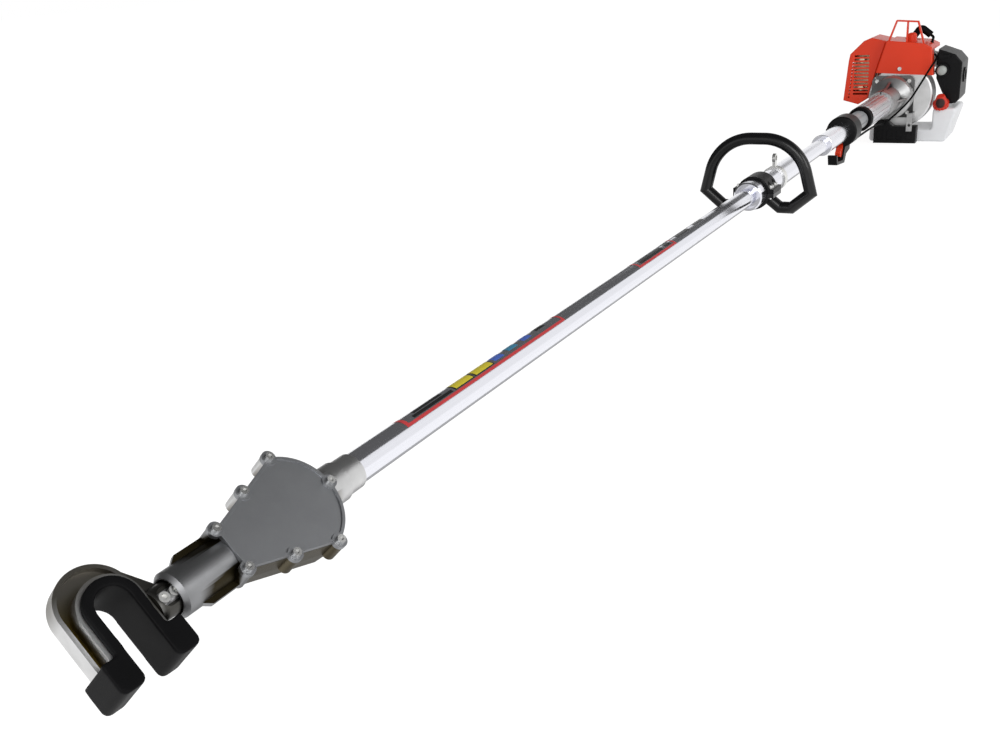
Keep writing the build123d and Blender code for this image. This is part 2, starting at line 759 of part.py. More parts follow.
with BuildPart() as cover_screws:
    with BuildSketch(ROLLED.offset(cover_top)):
        with Locations(*cover_bolts):
            Circle(COVER_SCREW_R * 1.75)
    extrude(amount=2 * COVER_SCREW_R - 1)
    with BuildSketch(ROLLED.offset(cover_top + COVER_SCREW_R - 0.5)):
        with Locations(*cover_bolts):
            RegularPolygon(COVER_SCREW_R * 0.9, 6)
    extrude(amount=2 * COVER_SCREW_R, mode=Mode.SUBTRACT)
    with BuildSketch(ROLLED.offset(cover_top)):
        with Locations(*cover_bolts):
            Circle(COVER_SCREW_R)
    extrude(amount=BODY_TOP - cover_top - 6.5)
save(cover_screws, "cover_screws")

# Pole: one straight aluminium tube from the gearbox socket into the clutch housing.
pole_end = socket_front + POLE_LENGTH
bore_r = POLE_R - POLE_WALL
with BuildPart() as pole_tube:
    turned(socket_front, pole_end, POLE_R, bore_r)
save(pole_tube, "pole_tube")

# Drive shaft with squared ends, carried by bushes spread along the tube.
hub_front = pole_end + HUB_GAP
with BuildPart() as drive_shaft:
    turned(pinion_end, hub_front, SHAFT_R)
    with BuildSketch(Plane.YZ.offset(pinion_end - SQUARE_LENGTH + 0.5)):
        Rectangle(SHAFT_SQUARE, SHAFT_SQUARE)
        Circle(SHAFT_R, mode=Mode.INTERSECT)
    extrude(amount=SQUARE_LENGTH)
    with BuildSketch(Plane.YZ.offset(hub_front)):
        Rectangle(SHAFT_SQUARE, SHAFT_SQUARE)
        Circle(SHAFT_R, mode=Mode.INTERSECT)
    extrude(amount=SQUARE_LENGTH)
save(drive_shaft, "drive_shaft")

bush_pitch = POLE_LENGTH / SHAFT_BUSHES
with BuildPart() as shaft_bushes:
    for bush in range(SHAFT_BUSHES):
        bush_at = socket_front + (bush + 0.5) * bush_pitch
        turned(bush_at, bush_at + SHAFT_BUSH_LENGTH, bore_r - SEAT, SHAFT_R + RUNNING)
        turned(bush_at + SHAFT_BUSH_LENGTH / 3, bush_at + SHAFT_BUSH_LENGTH * 2 / 3,
               bore_r, bore_r - 2.5, Mode.SUBTRACT)
save(shaft_bushes, "shaft_bushes")


def slab(plane, points, amount, both=False, mode=Mode.ADD):
    """A plate of the given outline, thickened off its plane."""
    with BuildSketch(plane) as face:
        with BuildLine():
            Polyline(*points, close=True)
        make_face()
    extrude(face.sketch, amount=amount, both=both, mode=mode)


# Stations along the pole, from its rear end forwards.
clutch_front = pole_end - CLAMP_GRIP
buffer_end = clutch_front - DAMPER_LENGTH
shield_end = buffer_end - BUFFER_LENGTH
shield_front = shield_end - SHIELD_LENGTH
grip_end = shield_front - APART
grip_front = grip_end - GRIP_LENGTH
throttle_front = grip_end - THROTTLE_BACK
throttle_rear = throttle_front + THROTTLE_LENGTH
handle_x = pole_end - HANDLE_SETBACK
sleeve_front = handle_x - SLEEVE_LEAD
sleeve_end = sleeve_front + SLEEVE_LENGTH
eye_x = handle_x + EYE_BEHIND

# Front handle: a sleeve on the pole, a bent loop with a saddle, its clamp cap and four bolts.
with BuildPart() as handle_sleeve:
    turned(sleeve_front + SLEEVE_COLLAR - 1, sleeve_end, SLEEVE_R, POLE_R + SEAT)
    turned(sleeve_front, sleeve_front + SLEEVE_COLLAR, SLEEVE_COLLAR_R, POLE_R + SEAT)
    chamfer(handle_sleeve.faces().sort_by(Axis.X)[0].edges().sort_by(SortBy.LENGTH)[-1], 2.0)
    chamfer(handle_sleeve.faces().sort_by(Axis.X)[-1].edges().sort_by(SortBy.LENGTH)[-1], 1.5)
    turned(sleeve_front, sleeve_front + SLEEVE_COLLAR / 3,
           SLEEVE_COLLAR_R - 4, POLE_R + SEAT, Mode.SUBTRACT)
save(handle_sleeve, "handle_sleeve")

clamp_front = handle_x - HANDLE_CLAMP / 2
clamp_rear = handle_x + HANDLE_CLAMP / 2
clamp_bore = SLEEVE_R + SEAT
ear_y = SLEEVE_R + CLAMP_EAR
ear_out = ear_y + CLAMP_EAR_HALF
bolt_depth = CLAMP_EAR + 5.0
bolt_x = (handle_x - HANDLE_CLAMP / 4, handle_x + HANDLE_CLAMP / 4)
handle_spots = [(x, y) for x in bolt_x for y in (-ear_y, ear_y)]
with BuildPart() as loop_handle:
    loop_right = [
        (-SLEEVE_R + 2, -SLEEVE_R / 2),
        (-LOOP_FOOT_IN, LOOP_FOOT),
        (-LOOP_FOOT_OUT, LOOP_FOOT),
        (-LOOP_HALF_WIDTH, LOOP_SHOULDER),
    ]
    loop_left = [(-y, z) for y, z in reversed(loop_right)]
    with BuildLine(Plane.YZ.offset(handle_x)) as loop_line:
        Polyline(*loop_right)
        FilletPolyline(
            loop_right[-1],
            (-LOOP_TOP_HALF, LOOP_TOP),
            (LOOP_TOP_HALF, LOOP_TOP),
            loop_left[0],
            radius=LOOP_TOP_R,
        )
        Polyline(*loop_left)
    loop_path = loop_line.wire()
    with BuildSketch(Plane(origin=loop_path @ 0, z_dir=loop_path % 0)):
        Circle(LOOP_R)
    sweep(path=loop_path, transition=Transition.RIGHT)
    turned(clamp_front, clamp_rear, HANDLE_CLAMP_R)
    with BuildSketch(Plane.XY):
        with Locations((handle_x, 0)):
            Rectangle(HANDLE_CLAMP, 2 * ear_out)
    extrude(amount=-CLAMP_EAR)
    with BuildSketch(Plane.XY.offset(-APART)):
        with Locations((handle_x, 0)):
            Rectangle(2 * HANDLE_CLAMP, 2 * (ear_out + 1))
    extrude(amount=HANDLE_CLAMP_R + 1, mode=Mode.SUBTRACT)
    turned(clamp_front - LOOP_R, clamp_rear + LOOP_R, clamp_bore, mode=Mode.SUBTRACT)
    with BuildSketch(Plane.XY):
        with Locations(*handle_spots):
            Circle(HANDLE_BOLT_R + SEAT)
    extrude(amount=-bolt_depth, mode=Mode.SUBTRACT)
save(loop_handle, "loop_handle")

with BuildPart() as handle_clamp:
    turned(clamp_front, clamp_rear, HANDLE_CLAMP_R)
    with BuildSketch(Plane.XY):
        with Locations((handle_x, 0)):
            Rectangle(HANDLE_CLAMP, 2 * ear_out)
    extrude(amount=CLAMP_EAR)
    with BuildSketch(Plane.XY):
        with Locations((handle_x, 0)):
            Rectangle(2 * HANDLE_CLAMP, 2 * (ear_out + 1))
    extrude(amount=-HANDLE_CLAMP_R - 1, mode=Mode.SUBTRACT)
    turned(clamp_front - 1, clamp_rear + 1, clamp_bore, mode=Mode.SUBTRACT)
    with BuildSketch(Plane.XY.offset(CLAMP_EAR)):
        with Locations(*handle_spots):
            Circle(2 * HANDLE_BOLT_R + APART)
    extrude(amount=HANDLE_CLAMP_R, mode=Mode.SUBTRACT)
    with BuildSketch(Plane.XY):
        with Locations(*handle_spots):
            Circle(HANDLE_BOLT_R + SEAT)
    extrude(amount=CLAMP_EAR, mode=Mode.SUBTRACT)
save(handle_clamp, "handle_clamp")

with BuildPart() as handle_bolts:
    with BuildSketch(Plane.XY.offset(CLAMP_EAR)):
        with Locations(*handle_spots):
            Circle(2 * HANDLE_BOLT_R)
    extrude(amount=2 * HANDLE_BOLT_R)
    with BuildSketch(Plane.XY.offset(CLAMP_EAR + HANDLE_BOLT_R)):
        with Locations(*handle_spots):
            RegularPolygon(HANDLE_BOLT_R, 6)
    extrude(amount=2 * HANDLE_BOLT_R, mode=Mode.SUBTRACT)
    with BuildSketch(Plane.XY.offset(CLAMP_EAR)):
        with Locations(*handle_spots):
            Circle(HANDLE_BOLT_R)
    extrude(amount=1 - CLAMP_EAR - bolt_depth)
save(handle_bolts, "handle_bolts")

# Harness eye: a steel band round the sleeve with a flat upright eye set along the pole.
with BuildPart() as harness_eye:
    turned(eye_x - EYE_BAND_HALF, eye_x + EYE_BAND_HALF, SLEEVE_R + EYE_BAND)
    with BuildSketch(Plane.XZ):
        with Locations((eye_x, EYE_RISE)):
            Circle(EYE_R + EYE_WALL)
        with Locations((eye_x, (EYE_RISE + SLEEVE_R) / 2)):
            Rectangle(2 * EYE_R, EYE_RISE - SLEEVE_R)
    extrude(amount=EYE_PLATE / 2, both=True)
    turned(eye_x - 2 * EYE_BAND_HALF, eye_x + 2 * EYE_BAND_HALF, SLEEVE_R + SEAT, mode=Mode.SUBTRACT)
    with BuildSketch(Plane.XZ):
        with Locations((eye_x, EYE_RISE)):
            Circle(EYE_R)
    extrude(amount=EYE_PLATE, both=True, mode=Mode.SUBTRACT)
save(harness_eye, "harness_eye")

# Rear grip sleeve, with a rolled bead at its front.
with BuildPart() as grip_sleeve:
    turned(grip_front, grip_end, GRIP_SLEEVE_R, POLE_R + SEAT)
    turned(grip_front, grip_front + 4 * GRIP_BEAD, GRIP_SLEEVE_R + GRIP_BEAD, GRIP_SLEEVE_R - 1)
    fillet(grip_sleeve.edges().filter_by(GeomType.CIRCLE).sort_by(SortBy.RADIUS)[-2:], GRIP_BEAD * 0.9)
save(grip_sleeve, "grip_sleeve")

# Throttle: a ring on the grip sleeve with a post, a finger guard, a trigger and a stop switch.
guard_tip = throttle_front - GUARD_REACH
guard_low = -GUARD_DROP
trigger_x = throttle_front + TRIGGER_SETBACK
trigger_z = -TRIGGER_DROP
slot_half = TRIGGER_HALF + APART
slot_top = -GRIP_SLEEVE_R - 1
cable_z = -THROTTLE_R - 4.5
switch_floor = GRIP_SLEEVE_R + 2.5
switch_height = THROTTLE_R + SWITCH_RISE - switch_floor
switch_x = trigger_x
with BuildPart() as throttle_body:
    turned(throttle_front, throttle_rear, THROTTLE_R)
    fillet(throttle_body.edges().filter_by(GeomType.CIRCLE), 4.0)
    slab(Plane.XZ, [
        (throttle_front + 4, slot_top),
        (throttle_rear - 6, slot_top),
        (throttle_rear - 6, cable_z - 5),
        (throttle_front + 14, guard_low + 16),
        (throttle_front + 2, guard_low),
        (guard_tip + 6, guard_low + 6),
        (guard_tip, guard_low + 26),
        (guard_tip + 7, guard_low + 26),
        (guard_tip + 12, guard_low + 12),
        (throttle_front - 10, guard_low + 7),
        (throttle_front - 4, guard_low + 22),
        (throttle_front + 4, guard_low + 33),
    ], GUARD_HALF, both=True)
    slab(Plane.XZ, [
        (trigger_x - 24, slot_top),
        (trigger_x + 10, slot_top),
        (trigger_x + 10, trigger_z - 8),
        (trigger_x - 6, trigger_z - 20),
        (trigger_x - 24, trigger_z - 24.5),
    ], slot_half, both=True, mode=Mode.SUBTRACT)
    turned(throttle_front - 1, throttle_rear + 1, GRIP_SLEEVE_R + SEAT, mode=Mode.SUBTRACT)
    with BuildSketch(Plane.XZ):
        with Locations((trigger_x, trigger_z)):
            Circle(TRIGGER_PIN_R + RUNNING)
    extrude(amount=GUARD_HALF + 1, both=True, mode=Mode.SUBTRACT)
    with BuildSketch(Plane.YZ.offset(throttle_rear)):
        with Locations((0, cable_z)):
            Circle(CABLE_R + SEAT)
    extrude(amount=-11, mode=Mode.SUBTRACT)
    with BuildSketch(Plane.XZ.offset(-switch_floor)):
        with Locations((switch_x + (SWITCH_LENGTH + SWITCH_TRAVEL) / 2, 0)):
            Rectangle(SWITCH_LENGTH + SWITCH_TRAVEL + 2 * APART, 2 * (SWITCH_HALF + APART))
    extrude(amount=-THROTTLE_R, mode=Mode.SUBTRACT)
save(throttle_body, "throttle_body")

with BuildPart() as throttle_trigger:
    slab(Plane.XZ, [
        (trigger_x - 6, trigger_z + 4.5),
        (trigger_x + 5, trigger_z + 4.5),
        (trigger_x + 6, trigger_z - 4),
        (trigger_x - 7, trigger_z - 13),
        (trigger_x - 24, trigger_z - 21.5),
        (trigger_x - 33, trigger_z - 19),
        (trigger_x - 35, trigger_z - 11),
        (trigger_x - 22, trigger_z - 3),
        (trigger_x - 10, trigger_z + 1),
    ], TRIGGER_HALF, both=True)
    fillet(throttle_trigger.edges().filter_by(Axis.Y), 1.5)
    with BuildSketch(Plane.XZ):
        with Locations((trigger_x, trigger_z)):
            Circle(TRIGGER_PIN_R)
    extrude(amount=GUARD_HALF - 0.5, both=True)
save(throttle_trigger, "throttle_trigger")

with BuildPart() as stop_switch:
    with BuildSketch(Plane.XZ.offset(-switch_floor - APART)):
        with Locations((switch_x + APART + SWITCH_LENGTH / 2, 0)):
            Rectangle(SWITCH_LENGTH - 2 * APART, 2 * SWITCH_HALF)
    extrude(amount=-switch_height)
    fillet(stop_switch.faces().sort_by(Axis.Y)[-1].edges(), 1.2)
    with BuildSketch(Plane.XZ.offset(-switch_floor - APART - switch_height)):
        with Locations((switch_x + APART + SWITCH_LENGTH / 2, 0)):
            with GridLocations(SWITCH_LENGTH / 4, 1, 3, 1):
                Rectangle(SWITCH_LENGTH / 11, 2 * SWITCH_HALF)
    extrude(amount=0.8, mode=Mode.SUBTRACT)
save(stop_switch, "stop_switch")

# Cable shield behind the throttle, then a rubber buffer and the ribbed damper collar.
with BuildPart() as cable_shield:
    turned(shield_front, shield_end, SHIELD_R, POLE_R + SEAT)
    for slit in range(SHIELD_SLITS):
        with BuildSketch(Plane.YZ.offset(shield_front + 8).rotated((360.0 / SHIELD_SLITS * slit, 0, 0))):
            with Locations((0, SHIELD_R)):
                Rectangle(4.0, SHIELD_R - POLE_R - 1)
        extrude(amount=SHIELD_LENGTH - 16, mode=Mode.SUBTRACT)
save(cable_shield, "cable_shield")

with BuildPart() as buffer_ring:
    turned(shield_end, buffer_end, BUFFER_R, POLE_R + SEAT)
    fillet(buffer_ring.edges().filter_by(GeomType.CIRCLE).sort_by(SortBy.RADIUS)[-2:], 3.5)
save(buffer_ring, "buffer_ring")

with BuildPart() as damper_collar:
    turned(buffer_end, clutch_front, DAMPER_R, POLE_R + SEAT)
    for rib in range(DAMPER_RIBS):
        with BuildSketch(Plane.YZ.offset(buffer_end + 8).rotated((360.0 / DAMPER_RIBS * rib, 0, 0))):
            with Locations((0, DAMPER_R)):
                Rectangle(DAMPER_RIB, 4.0)
        extrude(amount=DAMPER_LENGTH - 16)
    chamfer(damper_collar.faces().sort_by(Axis.X)[0].edges().sort_by(SortBy.LENGTH)[-1], 1.5)
save(damper_collar, "damper_collar")

# Clutch housing: a split clamp for the pole, then a bell round the drum with a square flange.
clutch_end = clutch_front + CLUTCH_LENGTH
clamp_end = clutch_front + CLAMP_LENGTH
flange_front = clutch_end - CLUTCH_RIM
bell_front = clutch_end - BELL_LENGTH
bearing_front = bell_front - 10
drum_front = clutch_end - DRUM_DEPTH
hub_hole = DRUM_HUB_R + 2
cavity_r = DRUM_R + 3
stand_front = clutch_end - STAND_LENGTH
flange_spots = [(y, z) for y in (-CLUTCH_BOLT, CLUTCH_BOLT) for z in (-CLUTCH_BOLT, CLUTCH_BOLT)]
with BuildPart() as clutch_housing:
    revolved([
        (clutch_front, 0),
        (clutch_front, CLAMP_R),
        (clamp_end, CLAMP_R),
        (clamp_end + 3, CLUTCH_NECK_R),
        (bell_front, CLUTCH_NECK_R + 2),
        (bell_front + 16, CLUTCH_R - 2),
        (clutch_end, CLUTCH_R),
        (clutch_end, 0),
    ])
    for web in range(4):
        slab(Plane.XZ.rotated((90 * web, 0, 0)), [
            (clamp_end + 6, CLUTCH_NECK_R - 1),
            (flange_front, CLUTCH_R - 0.5),
            (flange_front, CLUTCH_R - 4),
            (bell_front + 4, CLUTCH_NECK_R - 1),
        ], 2.5, both=True)
    with BuildSketch(Plane.YZ.offset(flange_front)):
        RectangleRounded(CLUTCH_FLANGE, CLUTCH_FLANGE, CLUTCH_CORNER)
    extrude(amount=CLUTCH_RIM)
    tab_front = stand_front - APART - TAB_THICK
    tab_root = TAB_HIGH - CLUTCH_CORNER
    slab(Plane.YZ.offset(tab_front), [
        (TAB_LEFT, TAB_HIGH), (TAB_RIGHT, TAB_HIGH), (TAB_RIGHT, TAB_LOW), (TAB_LEFT, TAB_LOW),
    ], TAB_THICK)
    slab(Plane.YZ.offset(tab_front), [
        (TAB_LEFT, TAB_HIGH), (TAB_RIGHT, TAB_HIGH), (TAB_RIGHT, tab_root), (TAB_LEFT, tab_root),
    ], clutch_end - tab_front)
    with BuildSketch(Plane.YZ.offset(tab_front)):
        with Locations(((TAB_LEFT + TAB_RIGHT) / 2, (TAB_LOW + tab_root) / 2)):
            Circle(TAB_HOLE_R)
    extrude(amount=TAB_THICK, mode=Mode.SUBTRACT)
    with BuildSketch(Plane.YZ.offset(flange_front)):
        with Locations(*flange_spots):
            Circle(SCREW_HEAD_R + APART)
    extrude(amount=-2 * BELL_LENGTH, mode=Mode.SUBTRACT)
    with BuildSketch(Plane.YZ.offset(flange_front)):
        with Locations(*flange_spots):
            Circle(ENGINE_SCREW_R + SEAT)
    extrude(amount=CLUTCH_RIM, mode=Mode.SUBTRACT)
    revolved([
        (clutch_front - 1, 0),
        (clutch_front - 1, POLE_R + SEAT),
        (pole_end, POLE_R + SEAT),
        (pole_end, hub_hole),
        (bearing_front, hub_hole),
        (bearing_front, BEARING_R + SEAT),
        (bell_front + 6, BEARING_R + SEAT),
        (bell_front + 18, cavity_r),
        (clutch_end + 1, cavity_r),
        (clutch_end + 1, 0),
    ], Mode.SUBTRACT)
    with BuildSketch(Plane.YZ.offset(clutch_front)):
        with Locations((0, CLAMP_R)):
            Rectangle(CLAMP_SLIT, CLAMP_R)
    extrude(amount=CLAMP_LENGTH - 6, mode=Mode.SUBTRACT)
save(clutch_housing, "clutch_housing")

with BuildPart() as drum_bearing:
    turned(bearing_front, bearing_front + 11, BEARING_R, DRUM_HUB_R + RUNNING)
save(drum_bearing, "drum_bearing")

with BuildPart() as clutch_drum:
    turned(hub_front, drum_front + DRUM_WALL, DRUM_HUB_R)
    turned(drum_front, drum_front + DRUM_WALL, DRUM_R)
    turned(drum_front, clutch_end - 4, DRUM_R, DRUM_R - DRUM_WALL)
    with BuildSketch(Plane.YZ.offset(drum_front)):
        with PolarLocations(DRUM_R * 0.6, 4):
            Circle(DRUM_R / 8)
    extrude(amount=DRUM_WALL, mode=Mode.SUBTRACT)
    with BuildSketch(Plane.YZ.offset(hub_front)):
        Rectangle(SHAFT_SQUARE + 2 * SEAT, SHAFT_SQUARE + 2 * SEAT)
    extrude(amount=SQUARE_LENGTH + 1, mode=Mode.SUBTRACT)
save(clutch_drum, "clutch_drum")

# Rotor: flywheel fan, clutch shoes on a carrier and the crankshaft with its starter cup.
fan_front = clutch_end
fan_rear = fan_front + FAN_DEPTH
flywheel_front = fan_front + 8
flywheel_rear = flywheel_front + 22
case_front = fan_rear
case_rear = case_front + CASE_PLATE + CASE_DEPTH
shoe_r = DRUM_R - DRUM_WALL - 0.5
shoe_rear = clutch_end - 6
with BuildPart() as clutch_shoes:
    turned(drum_front + DRUM_WALL + 3, shoe_rear, shoe_r)
    with BuildSketch(Plane.YZ.offset(drum_front)):
        Rectangle(4, 2 * DRUM_R)
        Circle(shoe_r * 0.45)
    extrude(amount=shoe_rear - drum_front, mode=Mode.SUBTRACT)
    turned(shoe_rear, flywheel_front, shoe_r * 0.7)
    turned(shoe_rear - 1, flywheel_front + 1, CRANKSHAFT_R + SEAT, mode=Mode.SUBTRACT)
save(clutch_shoes, "clutch_shoes")

blade_in = shoe_r * 0.6
with BuildPart() as flywheel:
    turned(flywheel_front + 11, flywheel_rear, FLYWHEEL_R)
    turned(flywheel_front, flywheel_rear, shoe_r * 0.75)
    for blade in range(FLYWHEEL_BLADES):
        blade_turn = 360.0 / FLYWHEEL_BLADES * blade
        with BuildSketch(Plane.YZ.offset(flywheel_front + 1).rotated((blade_turn, 0, 0))):
            with Locations((0, (blade_in + FLYWHEEL_R - 2) / 2)):
                Rectangle(2.4, FLYWHEEL_R - 2 - blade_in)
        extrude(amount=12)
    turned(flywheel_front - 1, flywheel_rear + 1, CRANKSHAFT_R + SEAT, mode=Mode.SUBTRACT)
save(flywheel, "flywheel")

with BuildPart() as crankshaft:
    turned(shoe_rear, case_rear + 14, CRANKSHAFT_R)
    turned(case_rear + 3, case_rear + 12, STARTER_R / 2)
save(crankshaft, "crankshaft")

# Engine block: fan housing, crankcase, finned cylinder and the starter cover behind.
with BuildPart() as fan_housing:
    with BuildSketch(Plane.YZ.offset(fan_front)):
        with Locations((FAN_SHIFT, 0)):
            Circle(FAN_R)
    extrude(amount=FAN_DEPTH)
    fillet(fan_housing.faces().sort_by(Axis.X)[0].edges(), FAN_WALL + 1)
    with BuildSketch(Plane.YZ.offset(fan_front + FAN_WALL)):
        with Locations((FAN_SHIFT, 0)):
            Circle(FAN_R - FAN_WALL)
    extrude(amount=FAN_DEPTH, mode=Mode.SUBTRACT)
    with BuildSketch(Plane.YZ.offset(fan_front)):
        Circle(cavity_r)
        with Locations(*flange_spots):
            Circle(ENGINE_SCREW_R + SEAT)
    extrude(amount=FAN_WALL, mode=Mode.SUBTRACT)
save(fan_housing, "fan_housing")

with BuildPart() as crankcase:
    with BuildSketch(Plane.YZ.offset(case_front)):
        with Locations((FAN_SHIFT, 0)):
            Circle(FAN_R)
    extrude(amount=CASE_PLATE)
    with BuildSketch(Plane.YZ.offset(case_front + CASE_PLATE)):
        RectangleRounded(2 * CASE_HALF, 2 * CYLINDER_FOOT, CASE_HALF / 3)
    extrude(amount=CASE_DEPTH)
    turned(case_rear - CASE_PLATE, case_rear, STARTER_R)
    turned(case_front - 1, case_rear + 1, CRANKSHAFT_R + RUNNING, mode=Mode.SUBTRACT)
save(crankcase, "crankcase")

cylinder_x = case_front + CASE_PLATE + CASE_DEPTH / 2
fin_foot = CYLINDER_FOOT + 9
fin_pitch = (CYLINDER_TOP - 4 - fin_foot) / (FINS - 1)
port_low = CYLINDER_FOOT + 16
port_high = CYLINDER_FOOT + 42
port_z = (port_low + port_high) / 2
port_height = port_high - port_low
port_y = FIN_HALF_Y + 3
with BuildPart() as cylinder:
    with BuildSketch(Plane.XY.offset(CYLINDER_FOOT)):
        with Locations((cylinder_x, 0)):
            RectangleRounded(2 * FIN_HALF_X, 2 * FIN_HALF_X, 6)
    extrude(amount=6)
    with BuildSketch(Plane.XY.offset(CYLINDER_FOOT)):
        with Locations((cylinder_x, 0)):
            Circle(CYLINDER_R)
    extrude(amount=CYLINDER_TOP - CYLINDER_FOOT)
    for row in range(FINS):
        with BuildSketch(Plane.XY.offset(fin_foot + row * fin_pitch)):
            with Locations((cylinder_x, 0)):
                RectangleRounded(2 * FIN_HALF_X, 2 * FIN_HALF_Y, 9)
        extrude(amount=FIN)
    with BuildSketch(Plane.XZ.offset(-port_y)):
        with Locations((cylinder_x, port_z)):
            RectangleRounded(2 * PORT_HALF, port_height, 5)
    extrude(amount=2 * port_y)
save(cylinder, "cylinder")

starter_rear = case_rear + STARTER_DEPTH
grip_x = case_rear + 14.0
grip_y = STARTER_R * 0.36
grip_foot = (STARTER_R ** 2 - grip_y ** 2) ** 0.5 + 3
with BuildPart() as starter_cover:
    turned(case_rear, starter_rear, STARTER_R)
    fillet(starter_cover.faces().sort_by(Axis.X)[-1].edges(), 9.0)
    turned(case_rear - 1, starter_rear - SHELL, STARTER_R - 2 * SHELL, mode=Mode.SUBTRACT)
    with BuildSketch(Plane.YZ.offset(starter_rear)):
        with PolarLocations(STARTER_R * 0.55, 12):
            SlotOverall(STARTER_R * 0.4, 4.5)
    extrude(amount=-2 * SHELL, mode=Mode.SUBTRACT)
    with BuildSketch(Plane.XY):
        with Locations((grip_x, grip_y)):
            Circle(ROPE_R + APART)
    extrude(amount=STARTER_R, mode=Mode.SUBTRACT)
save(starter_cover, "starter_cover")

with BuildPart() as starter_grip:
    with BuildSketch(Plane.XZ.offset(-grip_y + 19)):
        with Locations((grip_x, grip_foot + 12)):
            Ellipse(7, 8)
    extrude(amount=-38)
    fillet(starter_grip.faces().filter_by(Axis.Y).edges(), 3.0)
    with BuildSketch(Plane.XY.offset(grip_foot)):
        with Locations((grip_x, grip_y)):
            Circle(5)
    extrude(amount=6)
    with BuildSketch(Plane.XY.offset(grip_foot - 3 - STARTER_PULL)):
        with Locations((grip_x, grip_y)):
            Circle(ROPE_R)
    extrude(amount=STARTER_PULL + 5)
save(starter_grip, "starter_grip")

# Cylinder cover: an open-bottomed shell over fan and cylinder, with a small dome on top.
cover_front = fan_front - SHELL
cover_outline = [(44, 56), (23, 130), (-62, 121), (-80, 112), (-88, 48)]
cover_screw_at = (-12, 65)
dome_at = (fan_front + 30, -29)
lead_hole = (cylinder_x - 12, -70)
plug_plane = Plane(
    origin=(cylinder_x, -8, CYLINDER_TOP - 2), x_dir=(1, 0, 0),
    z_dir=(0, -sin(radians(PLUG_TILT)), cos(radians(PLUG_TILT))),
)
carb_low = CYLINDER_FOOT + 14
carb_high = CYLINDER_FOOT + 48
carb_z = (carb_low + carb_high) / 2
with BuildPart() as cylinder_cover:
    slab(Plane.YZ.offset(cover_front), cover_outline, COVER_LENGTH)
    fillet(cylinder_cover.edges().filter_by(Axis.X).group_by(Axis.Z)[-1], 4.0)
    fillet(cylinder_cover.faces().sort_by(Axis.X)[0].edges().sort_by(Axis.Z)[1:], 3.0)
    with BuildSketch(Plane.YZ.offset(cover_front + SHELL)):
        with BuildLine():
            Polyline(*cover_outline, close=True)
        make_face()
        offset(amount=-SHELL, kind=Kind.INTERSECTION, mode=Mode.REPLACE)
        with Locations((-22, 40)):
            Rectangle(124, 40)
    extrude(amount=COVER_LENGTH, mode=Mode.SUBTRACT)
    with BuildSketch(Plane.XY.offset(118)):
        with Locations(dome_at):
            Circle(DOME_R)
    extrude(amount=26)
    fillet(cylinder_cover.faces().sort_by(Axis.Z)[-1].edges(), DOME_R * 0.75)
    with BuildSketch(Plane.XZ.offset(50 - FAN_SHIFT)):
        with Locations((fan_rear + 29, 70)):
            Rectangle(94, 70)
    extrude(amount=60, mode=Mode.SUBTRACT)
    with BuildSketch(plug_plane):
        Circle(2 * BOOT_R)
    extrude(amount=40, mode=Mode.SUBTRACT)
    with BuildSketch(Plane.XZ.offset(-FIN_HALF_Y)):
        with Locations((cylinder_x, port_z)):
            Rectangle(2 * PORT_HALF + 8, port_height + 8)
    extrude(amount=-30, mode=Mode.SUBTRACT)
    with BuildSketch(Plane.XY.offset(CYLINDER_TOP)):
        with Locations(lead_hole):
            Circle(LEAD_R + 3)
    extrude(amount=20, mode=Mode.SUBTRACT)
    with BuildSketch(Plane.YZ.offset(cover_front)):
        with Locations(cover_screw_at):
            Circle(ENGINE_SCREW_R + SEAT)
    extrude(amount=SHELL, mode=Mode.SUBTRACT)
save(cylinder_cover, "cylinder_cover")

# Upright frame of flat rods on the cover, ahead of the spark plug.
frame_front = cover_front + 6
frame_line = [(19, 128), (3, 174), (-45, 170), (-61, 119)]
frame_post = [(-22, 172), (-22, 122)]
frame_rods = [*zip(frame_line, frame_line[1:]), frame_post]
with BuildPart() as guard_frame:
    for rod_from, rod_to in frame_rods:
        middle = ((rod_from[0] + rod_to[0]) / 2, (rod_from[1] + rod_to[1]) / 2)
        span = Vector(rod_to[0] - rod_from[0], rod_to[1] - rod_from[1])
        with BuildSketch(Plane.YZ.offset(frame_front)):
            with Locations(middle):
                SlotCenterToCenter(span.length, FRAME_ROD, rotation=degrees(atan2(span.Y, span.X)))
        extrude(amount=FRAME_DEPTH)
    slab(Plane.YZ.offset(frame_front - 1), cover_outline, FRAME_DEPTH + 2, mode=Mode.SUBTRACT)
save(guard_frame, "guard_frame")

# Exhaust: a pressed muffler on the left of the cylinder inside a slotted guard.
muffler_front = fan_rear + 8
muffler_y = MUFFLER_RIGHT + MUFFLER_WIDTH / 2
muffler_z = MUFFLER_LOW + MUFFLER_HEIGHT / 2
guard_front = fan_front + GUARD_FRONT
guard_outline = [
    (48, 55), (27, 127), (62, 136), (80, 129), (111, 99), (114, 83), (123, -12), (86, -22), (64, -8),
]
with BuildPart() as muffler:
    with BuildSketch(Plane.YZ.offset(muffler_front)):
        with Locations((muffler_y, muffler_z)):
            RectangleRounded(MUFFLER_WIDTH, MUFFLER_HEIGHT, 12)
    extrude(amount=MUFFLER_LENGTH)
    fillet(muffler.faces().filter_by(Axis.X).edges(), 6.0)
    with BuildSketch(Plane.XZ.offset(-port_y)):
        with Locations((cylinder_x, port_z)):
            RectangleRounded(2 * PORT_HALF, port_height, 5)
    extrude(amount=port_y - MUFFLER_RIGHT - 5)
    with BuildSketch(Plane.YZ.offset(guard_front + SHELL)):
        with Locations((muffler_y, MUFFLER_LOW + 14), (muffler_y, MUFFLER_LOW + MUFFLER_HEIGHT - 14)):
            Circle(6)
    extrude(amount=muffler_front - guard_front)
save(muffler, "muffler")

